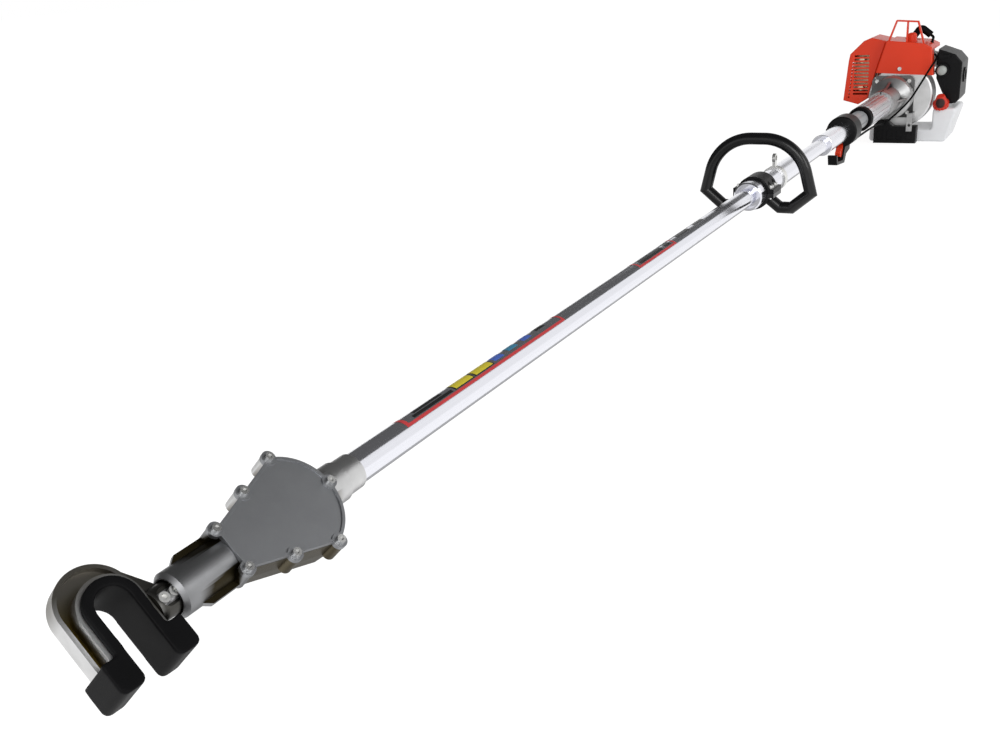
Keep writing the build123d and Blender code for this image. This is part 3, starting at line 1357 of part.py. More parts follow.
with BuildPart() as muffler_guard:
    slab(Plane.YZ.offset(guard_front), guard_outline, GUARD_LENGTH)
    fillet(muffler_guard.faces().sort_by(Axis.X)[0].edges(), 3.0)
    with BuildSketch(Plane.YZ.offset(guard_front + SHELL)):
        with BuildLine():
            Polyline(*guard_outline, close=True)
        make_face()
        offset(amount=-SHELL, kind=Kind.INTERSECTION, mode=Mode.REPLACE)
    extrude(amount=GUARD_LENGTH - 2 * SHELL, mode=Mode.SUBTRACT)
    slab(Plane.YZ.offset(muffler_front - 4), [
        (20, 110), (MUFFLER_RIGHT + 8, 110), (MUFFLER_RIGHT + 8, MUFFLER_LOW), (20, MUFFLER_LOW),
    ], GUARD_LENGTH - SHELL - muffler_front + 4 + guard_front, mode=Mode.SUBTRACT)
    with BuildSketch(Plane.YZ.offset(guard_front - 1)):
        with Locations((muffler_y, muffler_z - 2)):
            with GridLocations(1, GUARD_SLOT_PITCH, 1, GUARD_SLOTS):
                SlotOverall(36, GUARD_SLOT)
    extrude(amount=SHELL + 2, mode=Mode.SUBTRACT)
    with BuildSketch(Plane.XZ.offset(-MUFFLER_RIGHT - MUFFLER_WIDTH)):
        with Locations((guard_front + GUARD_LENGTH / 2, muffler_z - 13)):
            with GridLocations(1, GUARD_SLOT_PITCH, 1, GUARD_SLOTS - 2):
                SlotOverall(56, GUARD_SLOT)
    extrude(amount=-30, mode=Mode.SUBTRACT)
save(muffler_guard, "muffler_guard")

# Carburettor and air filter on the right, with primer, choke lever and a cover knob.
filter_front = fan_front + FILTER_FRONT
filter_outline = [
    (-92, 105), (-130, 91), (-146, 73), (-146, -10), (-138, -21), (-122, -22), (-106, 6), (-91, 38),
]
carb_step = port_y + 12
bracket_x = cylinder_x - PORT_HALF - 4
bracket_at = (-77, carb_high - 2)
with BuildPart() as carburettor:
    with BuildSketch(Plane.XZ.offset(port_y)):
        with Locations((cylinder_x, port_z)):
            RectangleRounded(2 * PORT_HALF, port_height, 5)
    extrude(amount=carb_step - port_y)
    with BuildSketch(Plane.XZ.offset(carb_step)):
        with Locations((cylinder_x, carb_z)):
            RectangleRounded(2 * PORT_HALF + 2, carb_high - carb_low, 4)
    extrude(amount=-CARB_OUT - carb_step)
    with BuildSketch(Plane.XY.offset(carb_high)):
        with Locations((cylinder_x, CARB_OUT + 18)):
            Circle(9)
    extrude(amount=6)
    with BuildSketch(Plane.YZ.offset(bracket_x)):
        with Locations((bracket_at[0], bracket_at[1] - 6)):
            RectangleRounded(12, 24, 3)
        with Locations(bracket_at):
            Circle(CABLE_R + SEAT, mode=Mode.SUBTRACT)
    extrude(amount=3.5)
save(carburettor, "carburettor")

primer_at = (-104, 57)
choke_at = (-99, 88)
knob_at = (filter_front + FILTER_LENGTH / 2, 40)
primer_front = filter_front - PRIMER_PRESS - 6
filter_right = -160
filter_beside = [(FILTER_SPLIT, 120), (filter_right, 120), (filter_right, -40), (FILTER_SPLIT, -40)]
filter_inside = [(FILTER_SPLIT, 120), (-60, 120), (-60, -40), (FILTER_SPLIT, -40)]
with BuildPart() as air_filter_base:
    slab(Plane.YZ.offset(filter_front), filter_outline, FILTER_LENGTH)
    slab(Plane.YZ.offset(filter_front - 1), filter_beside, FILTER_LENGTH + 2, mode=Mode.SUBTRACT)
    with BuildSketch(Plane.YZ.offset(primer_front)):
        with Locations(primer_at):
            Circle(PRIMER_R + PRIMER_BOSS)
    extrude(amount=filter_front - primer_front)
    with BuildSketch(Plane.YZ.offset(primer_front)):
        with Locations(primer_at):
            Circle(PRIMER_R + APART)
    extrude(amount=PRIMER_PRESS + 3, mode=Mode.SUBTRACT)
    with BuildSketch(Plane.YZ.offset(filter_front)):
        with Locations(choke_at):
            Circle(CHOKE_PIN_R + RUNNING)
    extrude(amount=10, mode=Mode.SUBTRACT)
    with BuildSketch(Plane.XZ.offset(-CARB_OUT)):
        with Locations((cylinder_x, carb_z)):
            Circle(INTAKE_R + 4)
    extrude(amount=16)
    with BuildSketch(Plane.XZ.offset(-CARB_OUT)):
        with Locations((cylinder_x, carb_z)):
            Circle(INTAKE_R)
    extrude(amount=40, mode=Mode.SUBTRACT)
save(air_filter_base, "air_filter_base")

with BuildPart() as primer_bulb:
    with BuildSketch(Plane.YZ.offset(primer_front + APART + 2)):
        with Locations(primer_at):
            Circle(PRIMER_R)
    extrude(amount=-PRIMER_R - 2)
    fillet(primer_bulb.faces().sort_by(Axis.X)[0].edges(), PRIMER_R * 0.72)
save(primer_bulb, "primer_bulb")

with BuildPart() as choke_lever:
    with BuildSketch(Plane.YZ.offset(filter_front - APART)):
        with Locations(choke_at):
            Circle(2 * CHOKE_PIN_R)
            with Locations((-9, 0)):
                SlotOverall(24, 7)
    extrude(amount=-4)
    with BuildSketch(Plane.YZ.offset(filter_front - APART)):
        with Locations((choke_at[0] - 17, choke_at[1])):
            Circle(3.5)
    extrude(amount=-9)
    with BuildSketch(Plane.YZ.offset(filter_front - APART)):
        with Locations(choke_at):
            Circle(CHOKE_PIN_R)
    extrude(amount=9)
save(choke_lever, "choke_lever")

with BuildPart() as air_filter_cover:
    slab(Plane.YZ.offset(filter_front), filter_outline, FILTER_LENGTH)
    fillet(air_filter_cover.edges().filter_by(Axis.X).group_by(Axis.Y)[0:3], 6.0)
    fillet(air_filter_cover.faces().sort_by(Axis.X)[0].edges().sort_by(Axis.Y)[:4], 3.0)
    with BuildSketch(Plane.YZ.offset(filter_front + SHELL)):
        with BuildLine():
            Polyline(*filter_outline, close=True)
        make_face()
        offset(amount=-2 * SHELL, kind=Kind.INTERSECTION, mode=Mode.REPLACE)
    extrude(amount=FILTER_LENGTH - 2 * SHELL, mode=Mode.SUBTRACT)
    with BuildSketch(Plane.XZ.offset(-FILTER_SPLIT)):
        with Locations(knob_at):
            Circle(KNOB_R + 5)
    extrude(amount=KNOB_SEAT + FILTER_SPLIT + 14)
    slab(Plane.YZ.offset(filter_front - 1), filter_inside, FILTER_LENGTH + 2, mode=Mode.SUBTRACT)
    with BuildSketch(Plane.XZ.offset(KNOB_SEAT)):
        with Locations(knob_at):
            Circle(KNOB_R + APART)
    extrude(amount=30, mode=Mode.SUBTRACT)
    with BuildSketch(Plane.XZ.offset(-FILTER_SPLIT)):
        with Locations(knob_at):
            Circle(ENGINE_SCREW_R + RUNNING)
    extrude(amount=35, mode=Mode.SUBTRACT)
save(air_filter_cover, "air_filter_cover")

with BuildPart() as filter_knob:
    with BuildSketch(Plane.XZ.offset(KNOB_SEAT + APART)):
        with Locations(knob_at):
            Circle(KNOB_R)
    extrude(amount=KNOB_R)
    with BuildSketch(Plane.XZ.offset(KNOB_SEAT + APART + KNOB_R)):
        with Locations(knob_at):
            with PolarLocations(KNOB_R + 1, 8):
                Circle(KNOB_R / 4)
    extrude(amount=-KNOB_R * 0.75, mode=Mode.SUBTRACT)
    with BuildSketch(Plane.XZ.offset(KNOB_SEAT + APART)):
        with Locations(knob_at):
            Circle(ENGINE_SCREW_R)
    extrude(amount=-26)
save(filter_knob, "filter_knob")

# Spark plug in the head, its rubber boot and the ignition lead.
plug_length = 26.0
with BuildPart() as spark_plug:
    with BuildSketch(plug_plane.offset(2)):
        RegularPolygon(9.5, 6)
    extrude(amount=9)
    with BuildSketch(plug_plane.offset(2)):
        Circle(PLUG_R)
    extrude(amount=plug_length)
    with BuildSketch(Plane.XY.offset(CYLINDER_TOP)):
        with Locations((cylinder_x, 0)):
            Rectangle(4 * FIN_HALF_X, 4 * FIN_HALF_Y)
    extrude(amount=-30, mode=Mode.SUBTRACT)
save(spark_plug, "spark_plug")

boot_line = [(cylinder_x, -20.5, 124), (cylinder_x, -40, 152), (cylinder_x, -64, 133)]
with BuildPart() as plug_boot:
    with BuildLine() as boot_path:
        FilletPolyline(*boot_line, radius=BOOT_R + 0.5)
    with BuildSketch(Plane(origin=boot_path.line @ 0, z_dir=boot_path.line % 0)):
        Circle(BOOT_R)
    sweep(path=boot_path.line)
    with BuildSketch(plug_plane.offset(2)):
        Circle(PLUG_R + SEAT)
    extrude(amount=plug_length + SEAT, mode=Mode.SUBTRACT)
    with BuildSketch(plug_plane):
        Circle(14)
    extrude(amount=12, mode=Mode.SUBTRACT)
save(plug_boot, "plug_boot")

lead_line = [
    boot_line[-1],
    (cylinder_x, -70, 128.25),
    (*lead_hole, 119),
    (*lead_hole, 104),
]
with BuildPart() as ignition_lead:
    with BuildLine() as lead_path:
        FilletPolyline(*lead_line, radius=[5, 5])
    with BuildSketch(Plane(origin=lead_path.line @ 0, z_dir=lead_path.line % 0)):
        Circle(LEAD_R)
    sweep(path=lead_path.line)
save(ignition_lead, "ignition_lead")

# Throttle cable from the throttle post under the pole, round the clutch bell to the carburettor.
cable_line = [
    (throttle_rear - 10, 0, cable_z),
    (throttle_rear + 60, 0, cable_z),
    (clutch_front - 40, 0, cable_z - 3),
    (clutch_front + 44, 2, cable_z - 15),
    (bell_front - 2, 8, -60),
    (bell_front + 4, -44, -10),
    (bell_front + 12, -66, 30),
    (fan_front - 12, -84, 70),
    (fan_front + 6, -92, 84),
    (fan_front + 26, -87, bracket_at[1] - 1),
    (bracket_x - 10, bracket_at[0], bracket_at[1]),
    (bracket_x + 3, bracket_at[0], bracket_at[1]),
]
with BuildPart() as throttle_cable:
    with BuildLine() as cable_path:
        FilletPolyline(*cable_line, radius=[60, 60, 60, 10, 10, 12, 10, 6, 6, 5])
    with BuildSketch(Plane(origin=cable_path.line @ 0, z_dir=cable_path.line % 0)):
        Circle(CABLE_R)
    sweep(path=cable_path.line)
save(throttle_cable, "throttle_cable")

# Fuel tank with a raised right shoulder, a slanted filler and its cap.
tank_front = fan_front + 4
filler = Plane(
    origin=(tank_front + FILLER_SETBACK, FILLER_Y, TANK_SHOULDER), x_dir=(0, 1, 0),
    z_dir=(-sin(radians(CAP_TILT)), 0, cos(radians(CAP_TILT))),
)
seat_lift = 4.0
neck_lift = 14.0
cap_lift = seat_lift + 2
with BuildPart() as fuel_tank:
    slab(Plane.YZ.offset(tank_front), [
        (TANK_LEFT, FLOOR),
        (TANK_LEFT, TANK_TOP),
        (TANK_STEP, TANK_TOP),
        (TANK_STEP, TANK_SHOULDER),
        (TANK_RIGHT, TANK_SHOULDER),
        (TANK_RIGHT + TANK_DRAFT, FLOOR),
    ], TANK_LENGTH)
    fillet(fuel_tank.edges().filter_by(Axis.X), 7.0)
    fillet(fuel_tank.faces().filter_by(Axis.X).edges(), 5.0)
    with BuildSketch(filler.offset(seat_lift)):
        Rectangle(4 * CAP_R + 20, 4 * CAP_R + 20)
    extrude(amount=40, mode=Mode.SUBTRACT)
    with BuildSketch(filler.offset(seat_lift - 16)):
        Circle(NECK_FILLER_R)
    extrude(amount=neck_lift - seat_lift + 16)
    with BuildSketch(filler.offset(neck_lift)):
        Circle(NECK_FILLER_R - 3)
    extrude(amount=-18, mode=Mode.SUBTRACT)
    with BuildSketch(Plane.XY.offset(TANK_TOP - 3)):
        with Locations((cylinder_x, 0)):
            RectangleRounded(36, 50, 6)
    extrude(amount=-CYLINDER_FOOT - TANK_TOP + 3)
save(fuel_tank, "fuel_tank")

with BuildPart() as fuel_cap:
    with BuildSketch(filler.offset(cap_lift)):
        Circle(CAP_R)
    extrude(amount=CAP_SKIRT)
    with BuildSketch(filler.offset(cap_lift)):
        with PolarLocations(CAP_R + 1.5, 14):
            Circle(3)
    extrude(amount=CAP_SKIRT - 2, mode=Mode.SUBTRACT)
    with BuildSketch(filler.offset(cap_lift + CAP_SKIRT)):
        Circle(CAP_R - 2)
    extrude(amount=CAP_CONE, taper=20)
    fillet(fuel_cap.edges().group_by(Axis(filler.origin, filler.z_dir))[-1], 3.0)
    with BuildSketch(filler.offset(cap_lift)):
        Circle(NECK_FILLER_R + RUNNING)
    extrude(amount=neck_lift - cap_lift + APART, mode=Mode.SUBTRACT)
save(fuel_cap, "fuel_cap")

# Moulded stand under the clutch, with shallow pockets in its front.
with BuildPart() as engine_stand:
    slab(Plane.YZ.offset(stand_front), [
        (STAND_LEFT, FLOOR),
        (STAND_RIGHT, FLOOR),
        (STAND_RIGHT, STAND_DIP),
        (-8, STAND_DIP),
        (8, STAND_TOP),
        (STAND_LEFT - 10, STAND_TOP),
        (STAND_LEFT, STAND_TOP - 10),
    ], STAND_LENGTH)
    fillet(engine_stand.faces().sort_by(Axis.X)[0].edges(), 2.5)
    slab(Plane.YZ.offset(stand_front + STAND_WALL), [
        (STAND_LEFT - STAND_WALL, FLOOR + STAND_WALL),
        (STAND_RIGHT + STAND_WALL, FLOOR + STAND_WALL),
        (STAND_RIGHT + STAND_WALL, STAND_DIP - STAND_WALL),
        (STAND_LEFT - STAND_WALL, STAND_DIP - STAND_WALL),
    ], STAND_LENGTH, mode=Mode.SUBTRACT)
    with BuildSketch(Plane.YZ.offset(stand_front)):
        with Locations(((STAND_LEFT + STAND_RIGHT) / 2, (FLOOR + STAND_DIP) / 2)):
            with GridLocations((STAND_LEFT - STAND_RIGHT) / 4.4, 1, 4, 1):
                RectangleRounded((STAND_LEFT - STAND_RIGHT) / 6.5, (STAND_DIP - FLOOR) * 0.6, 3)
    extrude(amount=STAND_WALL / 2, mode=Mode.SUBTRACT)
save(engine_stand, "engine_stand")

# Screws of the engine: four on the clutch flange and one in the cylinder cover.
screw_sets = [
    (flange_spots, flange_front, CLUTCH_RIM + FAN_WALL - 0.1),
    ([cover_screw_at], cover_front, SHELL),
]
with BuildPart() as engine_screws:
    for spots, seat, depth in screw_sets:
        with BuildSketch(Plane.YZ.offset(seat)):
            with Locations(*spots):
                Circle(SCREW_HEAD_R)
        extrude(amount=-SCREW_HEAD)
        with BuildSketch(Plane.YZ.offset(seat - SCREW_HEAD)):
            with Locations(*spots):
                RegularPolygon(ENGINE_SCREW_R, 6)
        extrude(amount=ENGINE_SCREW_R, mode=Mode.SUBTRACT)
        with BuildSketch(Plane.YZ.offset(seat)):
            with Locations(*spots):
                Circle(ENGINE_SCREW_R)
        extrude(amount=depth)
save(engine_screws, "engine_screws")
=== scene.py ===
import json
from math import cos, pi, radians, sin

import bpy
from mathutils import Matrix, Vector
from mathutils.bvhtree import BVHTree

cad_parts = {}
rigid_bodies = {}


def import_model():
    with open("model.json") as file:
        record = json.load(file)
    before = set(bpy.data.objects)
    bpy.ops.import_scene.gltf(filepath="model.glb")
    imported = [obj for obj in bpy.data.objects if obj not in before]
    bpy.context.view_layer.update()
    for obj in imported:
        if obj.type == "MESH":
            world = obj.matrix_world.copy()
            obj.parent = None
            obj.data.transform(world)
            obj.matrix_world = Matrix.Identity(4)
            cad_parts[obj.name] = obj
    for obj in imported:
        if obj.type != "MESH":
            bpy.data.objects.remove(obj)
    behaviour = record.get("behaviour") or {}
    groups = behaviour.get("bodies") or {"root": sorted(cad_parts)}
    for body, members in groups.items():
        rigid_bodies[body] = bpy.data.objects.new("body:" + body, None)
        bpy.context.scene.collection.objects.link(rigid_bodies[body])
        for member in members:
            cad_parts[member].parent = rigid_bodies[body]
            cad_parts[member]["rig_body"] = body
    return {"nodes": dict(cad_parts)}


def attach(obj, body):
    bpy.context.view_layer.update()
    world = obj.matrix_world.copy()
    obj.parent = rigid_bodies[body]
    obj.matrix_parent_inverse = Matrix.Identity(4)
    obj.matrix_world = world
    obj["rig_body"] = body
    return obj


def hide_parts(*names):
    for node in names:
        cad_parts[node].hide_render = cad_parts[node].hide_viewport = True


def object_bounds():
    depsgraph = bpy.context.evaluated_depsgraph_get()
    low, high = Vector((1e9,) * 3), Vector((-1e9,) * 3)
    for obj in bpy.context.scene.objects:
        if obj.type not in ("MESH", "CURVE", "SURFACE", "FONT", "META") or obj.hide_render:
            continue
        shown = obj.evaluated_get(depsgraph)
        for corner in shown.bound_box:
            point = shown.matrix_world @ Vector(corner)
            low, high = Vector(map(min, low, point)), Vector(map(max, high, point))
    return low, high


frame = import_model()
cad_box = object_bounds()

nodes = frame["nodes"]

# Hook: an aluminium casting, an I-section arch with a round stem. It is tumbled bright after casting,
# so its edges are broken and its skin keeps a fine grain, and it clamps on the shaker rod.
HOOK_EDGE = 0.0007
HOOK_SHADE_REACH = 0.011
STEM_DARKENING = (-0.226, -0.208)
FAR_WAY = (0, 0.719, 0.695)
FAR_DARKENING = (0.022, 0.042)


def pick(*pieces):
    """Selects these pieces alone and makes the first one active."""
    bpy.ops.object.select_all(action="DESELECT")
    for piece in pieces:
        piece.select_set(True)
    bpy.context.view_layer.objects.active = pieces[0]


def softened(node, edge, sharp=30, edge_slot=-1):
    """A copy of a casting or moulding with broken edges, standing for its node."""
    source = nodes[node]
    piece = source.copy()
    piece.data = source.data.copy()
    piece.name = node + "_form"
    piece.parent = None
    for key in list(piece.keys()):
        del piece[key]
    bpy.context.scene.collection.objects.link(piece)
    pick(piece)
    bpy.ops.object.mode_set(mode="EDIT")
    bpy.ops.mesh.select_all(action="SELECT")
    bpy.ops.mesh.remove_doubles(threshold=0.000002)
    bpy.ops.mesh.dissolve_limited(angle_limit=radians(1))
    bpy.ops.object.mode_set(mode="OBJECT")
    rounding = piece.modifiers.new("edges", "BEVEL")
    rounding.width = edge
    rounding.segments = 2
    rounding.limit_method = "ANGLE"
    rounding.angle_limit = radians(sharp)
    rounding.use_clamp_overlap = True
    rounding.material = edge_slot
    bpy.ops.object.modifier_apply(modifier="edges")
    bpy.ops.object.shade_smooth_by_angle(angle=radians(40))
    even = piece.modifiers.new("even", "WEIGHTED_NORMAL")
    even.keep_sharp = True
    bpy.ops.object.modifier_apply(modifier="even")
    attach(piece, source["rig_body"])
    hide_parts(node)
    return piece


def dress(piece, material):
    """Gives a piece or a carried-over node one finish."""
    if not piece.material_slots:
        piece.data.materials.append(material)
    for place in piece.material_slots:
        place.link = "OBJECT"
        place.material = material


def paint_hollow_shade(piece, reach):
    """Stores how far each corner of a casting's faces lies in hollows, as the mask for painted shade there."""
    mesh = piece.data
    shape = BVHTree.FromPolygons([v.co for v in mesh.vertices], [f.vertices for f in mesh.polygons])
    blocked = []
    for vertex in mesh.vertices:
        side = vertex.normal.orthogonal().normalized()
        other = vertex.normal.cross(side)
        hits = 0
        for turn in range(12):
            for rise in (0.35, 0.75):
                around = side * cos(turn * pi / 6) + other * sin(turn * pi / 6)
                way = vertex.normal * rise + around * (1 - rise * rise) ** 0.5
                if shape.ray_cast(vertex.co + vertex.normal * 0.0003, way, reach)[0]:
                    hits += 1
        blocked.append(hits / 24)
    depth = mesh.attributes.new("hollow_shade", "FLOAT", "CORNER")
    for face in mesh.polygons:
        corners = [blocked[v] for v in face.vertices]
        middle = sum(corners) / len(corners)
        for loop, value in zip(face.loop_indices, corners):
            depth.data[loop].value = middle if len(corners) > 8 else value


def new_finish(name):
    """A new material: itself, its node tree, its shader and the piece's own coordinates."""
    material = bpy.data.materials.new(name)
    material.use_nodes = True
    tree = material.node_tree
    place = tree.nodes.new("ShaderNodeTexCoord").outputs["Object"]
    return material, tree, tree.nodes["Principled BSDF"], place


def noise(tree, place, scale, detail=2.0):
    """Cloudy noise."""
    texture = tree.nodes.new("ShaderNodeTexNoise")
    texture.inputs["Scale"].default_value = scale
    texture.inputs["Detail"].default_value = detail
    tree.links.new(place, texture.inputs["Vector"])
    return texture.outputs["Fac"]


def two_tone(tree, value, dark, light, start=0.0, end=1.0):
    """Runs from one colour to another as a value rises."""
    ramp = tree.nodes.new("ShaderNodeValToRGB")
    for stop, spot, colour in zip(ramp.color_ramp.elements, (start, end), (dark, light)):
        stop.position = spot
        stop.color = (*colour, 1)
    tree.links.new(value, ramp.inputs["Fac"])
    return ramp.outputs["Color"]


def span(tree, value, start, end, low, high):
    """Takes a value between start and end to one between low and high."""
    reach = tree.nodes.new("ShaderNodeMapRange")
    for key, number in (("From Min", start), ("From Max", end), ("To Min", low), ("To Max", high)):
        reach.inputs[key].default_value = number
    tree.links.new(value, reach.inputs["Value"])
    return reach.outputs["Result"]


def lay_over(tree, base, colour, amount):
    """Lays a colour over another one."""
    mix = tree.nodes.new("ShaderNodeMix")
    mix.data_type = "RGBA"
    mix.inputs["B"].default_value = (*colour, 1)
    tree.links.new(amount, mix.inputs["Factor"])
    tree.links.new(base, mix.inputs["A"])
    return mix.outputs["Result"]


def roughen(tree, shader, height, strength, distance):
    """Gives a finish its fine skin."""
    relief = tree.nodes.new("ShaderNodeBump")
    relief.inputs["Strength"].default_value = strength
    relief.inputs["Distance"].default_value = distance
    tree.links.new(height, relief.inputs["Height"])
    tree.links.new(relief.outputs["Normal"], shader.inputs["Normal"])


def cast_metal(name, colour, dark_tone, roughness, grain, depth, dirt, shallow=0.2, deep=0.5):
    """Cast metal: a fine pebbled skin, cloudy colour, and painted shade in the hollows, in a dark tone."""
    material, tree, shader, place = new_finish(name)
    shader.inputs["Metallic"].default_value = 1.0
    clouds = noise(tree, place, 38.0, 5.0)
    tone = two_tone(tree, clouds, [c * dirt for c in colour], colour, 0.3, 0.68)
    # Painted shade: the mask of the hollows lays the dark tone into them.
    hollow_shade = tree.nodes.new("ShaderNodeAttribute")
    hollow_shade.attribute_name = "hollow_shade"
    hollow_shading = span(tree, hollow_shade.outputs["Fac"], shallow, deep, 0, 1)
    tree.links.new(lay_over(tree, tone, dark_tone, hollow_shading), shader.inputs["Base Color"])
    tree.links.new(span(tree, clouds, 0, 1, roughness + 0.08, roughness - 0.08), shader.inputs["Roughness"])
    roughen(tree, shader, noise(tree, place, grain, 3.0), depth, 0.0004)
    return material


def darken_along(material, way, light_end, dark_end, dark_tone):
    """Darkens a casting from one station to another along a direction; on the gearbox body this is painted shade on
    its lower side.
    """
    tree = material.node_tree
    shader = tree.nodes["Principled BSDF"]
    along = tree.nodes.new("ShaderNodeVectorMath")
    along.operation = "DOT_PRODUCT"
    along.inputs[1].default_value = way
    tree.links.new(tree.nodes.new("ShaderNodeTexCoord").outputs["Object"], along.inputs[0])
    darkening = span(tree, along.outputs["Value"], light_end, dark_end, 0, 1)
    base = shader.inputs["Base Color"].links[0].from_socket
    tree.links.new(lay_over(tree, base, dark_tone, darkening), shader.inputs["Base Color"])


# The hook's hollows are laid in a brown tone: partly old oil, partly painted shade.
tumbled_aluminium = cast_metal(
    "tumbled_aluminium", (0.7, 0.7, 0.7), (0.14, 0.105, 0.032), 0.36, 900, 0.18, 0.8, shallow=0.26, deep=0.6,
)
# Darker towards the stem and towards the far side of the hook.
darken_along(tumbled_aluminium, (1, 0, 0), *STEM_DARKENING, (0.07, 0.068, 0.062))
darken_along(tumbled_aluminium, FAR_WAY, *FAR_DARKENING, (0.16, 0.15, 0.13))
hook = softened("hook_casting", HOOK_EDGE)
paint_hollow_shade(hook, HOOK_SHADE_REACH)
dress(hook, tumbled_aluminium)

# Hook liner: black rubber pressed over the arch, with thick blocks at both tips.
# It holds the branch, so it is soft, matt and a little scuffed on its raised edges.
LINER_EDGE = 0.0002
LINER_GRID = 0.0008
LINER_ROUNDS = 20


def moulded_rubber(name, colour, roughness, grain):
    """Moulded rubber: matt, faintly mottled, with a fine leathery skin."""
    material, tree, shader, place = new_finish(name)
    shader.inputs["Specular IOR Level"].default_value = 0.05
    bloom = noise(tree, place, 24.0, 6.0)
    tone = two_tone(tree, bloom, colour, [c * 1.9 + 0.001 for c in colour])
    tree.links.new(tone, shader.inputs["Base Color"])
    tree.links.new(span(tree, bloom, 0, 1, roughness - 0.1, roughness + 0.1), shader.inputs["Roughness"])
    skin = tree.nodes.new("ShaderNodeTexVoronoi")
    skin.inputs["Scale"].default_value = grain
    tree.links.new(place, skin.inputs["Vector"])
    roughen(tree, shader, skin.outputs["Distance"], 0.12, 0.0003)
    return material


black_rubber = moulded_rubber("black_rubber", (0.003, 0.003, 0.0033), 0.5, 1400)
liner = softened("hook_pad", LINER_EDGE)
pick(liner)
skin = liner.modifiers.new("skin", "REMESH")
skin.mode = "VOXEL"
skin.voxel_size = LINER_GRID
skin.use_smooth_shade = True
bpy.ops.object.modifier_apply(modifier="skin")
worn = liner.modifiers.new("worn", "SMOOTH")
worn.factor = 0.5
worn.iterations = LINER_ROUNDS
bpy.ops.object.modifier_apply(modifier="worn")
bpy.ops.object.shade_smooth()
dress(liner, black_rubber)

# Screws: socket-head steel screws, zinc plated, that clamp the hook, the gearbox cover,
# the handle and the engine's flange. They catch bright glints on their rims.


def plated_steel(name, colour, roughness):
    """Turned and plated steel: a slightly uneven plating."""
    material, tree, shader, place = new_finish(name)
    shader.inputs["Metallic"].default_value = 1.0
    plating = noise(tree, place, 160.0, 4.0)
    tone = two_tone(tree, plating, [c * 0.78 for c in colour], colour)
    tree.links.new(tone, shader.inputs["Base Color"])
    tree.links.new(span(tree, plating, 0, 1, roughness + 0.07, roughness - 0.07), shader.inputs["Roughness"])
    return material


zinc = plated_steel("zinc_plating", (0.78, 0.78, 0.77), 0.26)
ground_steel = plated_steel("ground_steel", (0.34, 0.34, 0.35), 0.3)
for node in ("cover_screws", "handle_bolts", "engine_screws", "spark_plug"):
    dress(nodes[node], zinc)
dull_zinc = plated_steel("dull_zinc", (0.86, 0.86, 0.84), 0.4)
for node in ("hook_screws", "harness_eye"):
    dress(nodes[node], dull_zinc)

# Crank drive: steel rod, pins, gears, bearings and shaft inside gearbox and pole.
# They are ground or machined, and a film of grease keeps them dark and shiny.
for node in (
    "shaker_rod", "wrist_pin", "connecting_rod", "crank_pin", "crank_gear", "bevel_pinion", "gear_bearings",
    "drive_shaft", "clutch_drum", "clutch_shoes", "flywheel", "crankshaft", "drum_bearing",
):
    dress(nodes[node], ground_steel)
bearing_bronze = plated_steel("bearing_bronze", (0.62, 0.4, 0.17), 0.33)
dress(nodes["guide_bush"], bearing_bronze)
dress(nodes["rod_seal"], black_rubber)

# Gearbox: a grey aluminium casting, bead blasted, with a neck for the rod and a collar for the pole.
# The cover is a darker grey plate held by socket screws; its broken edges are lighter, partly as a bright machined
# rim and partly as a painted highlight.
GEARBOX_EDGE = 0.0008
GEARBOX_SHADE_REACH = 0.02
NEAR_WAY = (0, -0.719, -0.695)
LOWER_SIDE_SHADE = (-0.006, 0.02)
NECK_LENGTH = 0.049
RIM_WIDTH = 0.0026
COLLAR_FRONT = -0.04
# Painted shade: both body finishes darken the casting's hollows, and the second one also darkens the body's lower
# side.
blasted_aluminium = cast_metal("blasted_aluminium", (0.66, 0.66, 0.66), (0.07, 0.05, 0.02), 0.36, 700, 0.4, 0.8)
aluminium_shaded_below = cast_metal("aluminium_shaded_below", (0.66, 0.66, 0.66), (0.07, 0.05, 0.02), 0.36, 700, 0.4, 0.8)
darken_along(aluminium_shaded_below, NEAR_WAY, *LOWER_SIDE_SHADE, (0.1, 0.085, 0.055))
neck_grey = cast_metal("neck_grey", (0.28, 0.283, 0.29), (0.03, 0.024, 0.012), 0.42, 1200, 0.2, 0.8)
gearbox = softened("gearbox_body", GEARBOX_EDGE)
paint_hollow_shade(gearbox, GEARBOX_SHADE_REACH)
neck_end = min(v.co.x for v in gearbox.data.vertices)
bare_rim_and_highlight = cast_metal("bare_rim_and_highlight", (0.42, 0.42, 0.43), (0.1, 0.1, 0.1), 0.34, 600, 0.15, 0.8)
worn_rim = cast_metal("worn_rim", (0.27, 0.272, 0.28), (0.06, 0.06, 0.06), 0.44, 600, 0.15, 0.8)
gearbox.data.materials.clear()
for finish in (aluminium_shaded_below, neck_grey, worn_rim, blasted_aluminium):
    gearbox.data.materials.append(finish)
# Painted shade on the lower side of the body, except on the collar; the neck and its end rim get their own greys.
for face in gearbox.data.polygons:
    back = face.center.x - neck_end
    face.material_index = 2 if back < RIM_WIDTH else 1 if back < NECK_LENGTH else 0
    if face.center.x > COLLAR_FRONT:
        face.material_index = 3
cover_grey = cast_metal("cover_grey", (0.315, 0.322, 0.336), (0.06, 0.06, 0.06), 0.42, 1500, 0.14, 0.86)
# Painted highlight: the cover's bevel faces take the lighter rim finish, partly a bare machined rim.
gearbox_lid = softened("gearbox_cover", GEARBOX_EDGE, edge_slot=1)
gearbox_lid.data.materials.clear()
gearbox_lid.data.materials.append(cover_grey)
gearbox_lid.data.materials.append(bare_rim_and_highlight)
gasket_grey = moulded_rubber("gasket_grey", (0.02, 0.02, 0.02), 0.7, 900)
dress(nodes["cover_gasket"], gasket_grey)

# Pole and sleeves: drawn aluminium tube, polished and clear anodised, so it mirrors the studio
# in long streaks. Fine die lines run along it.


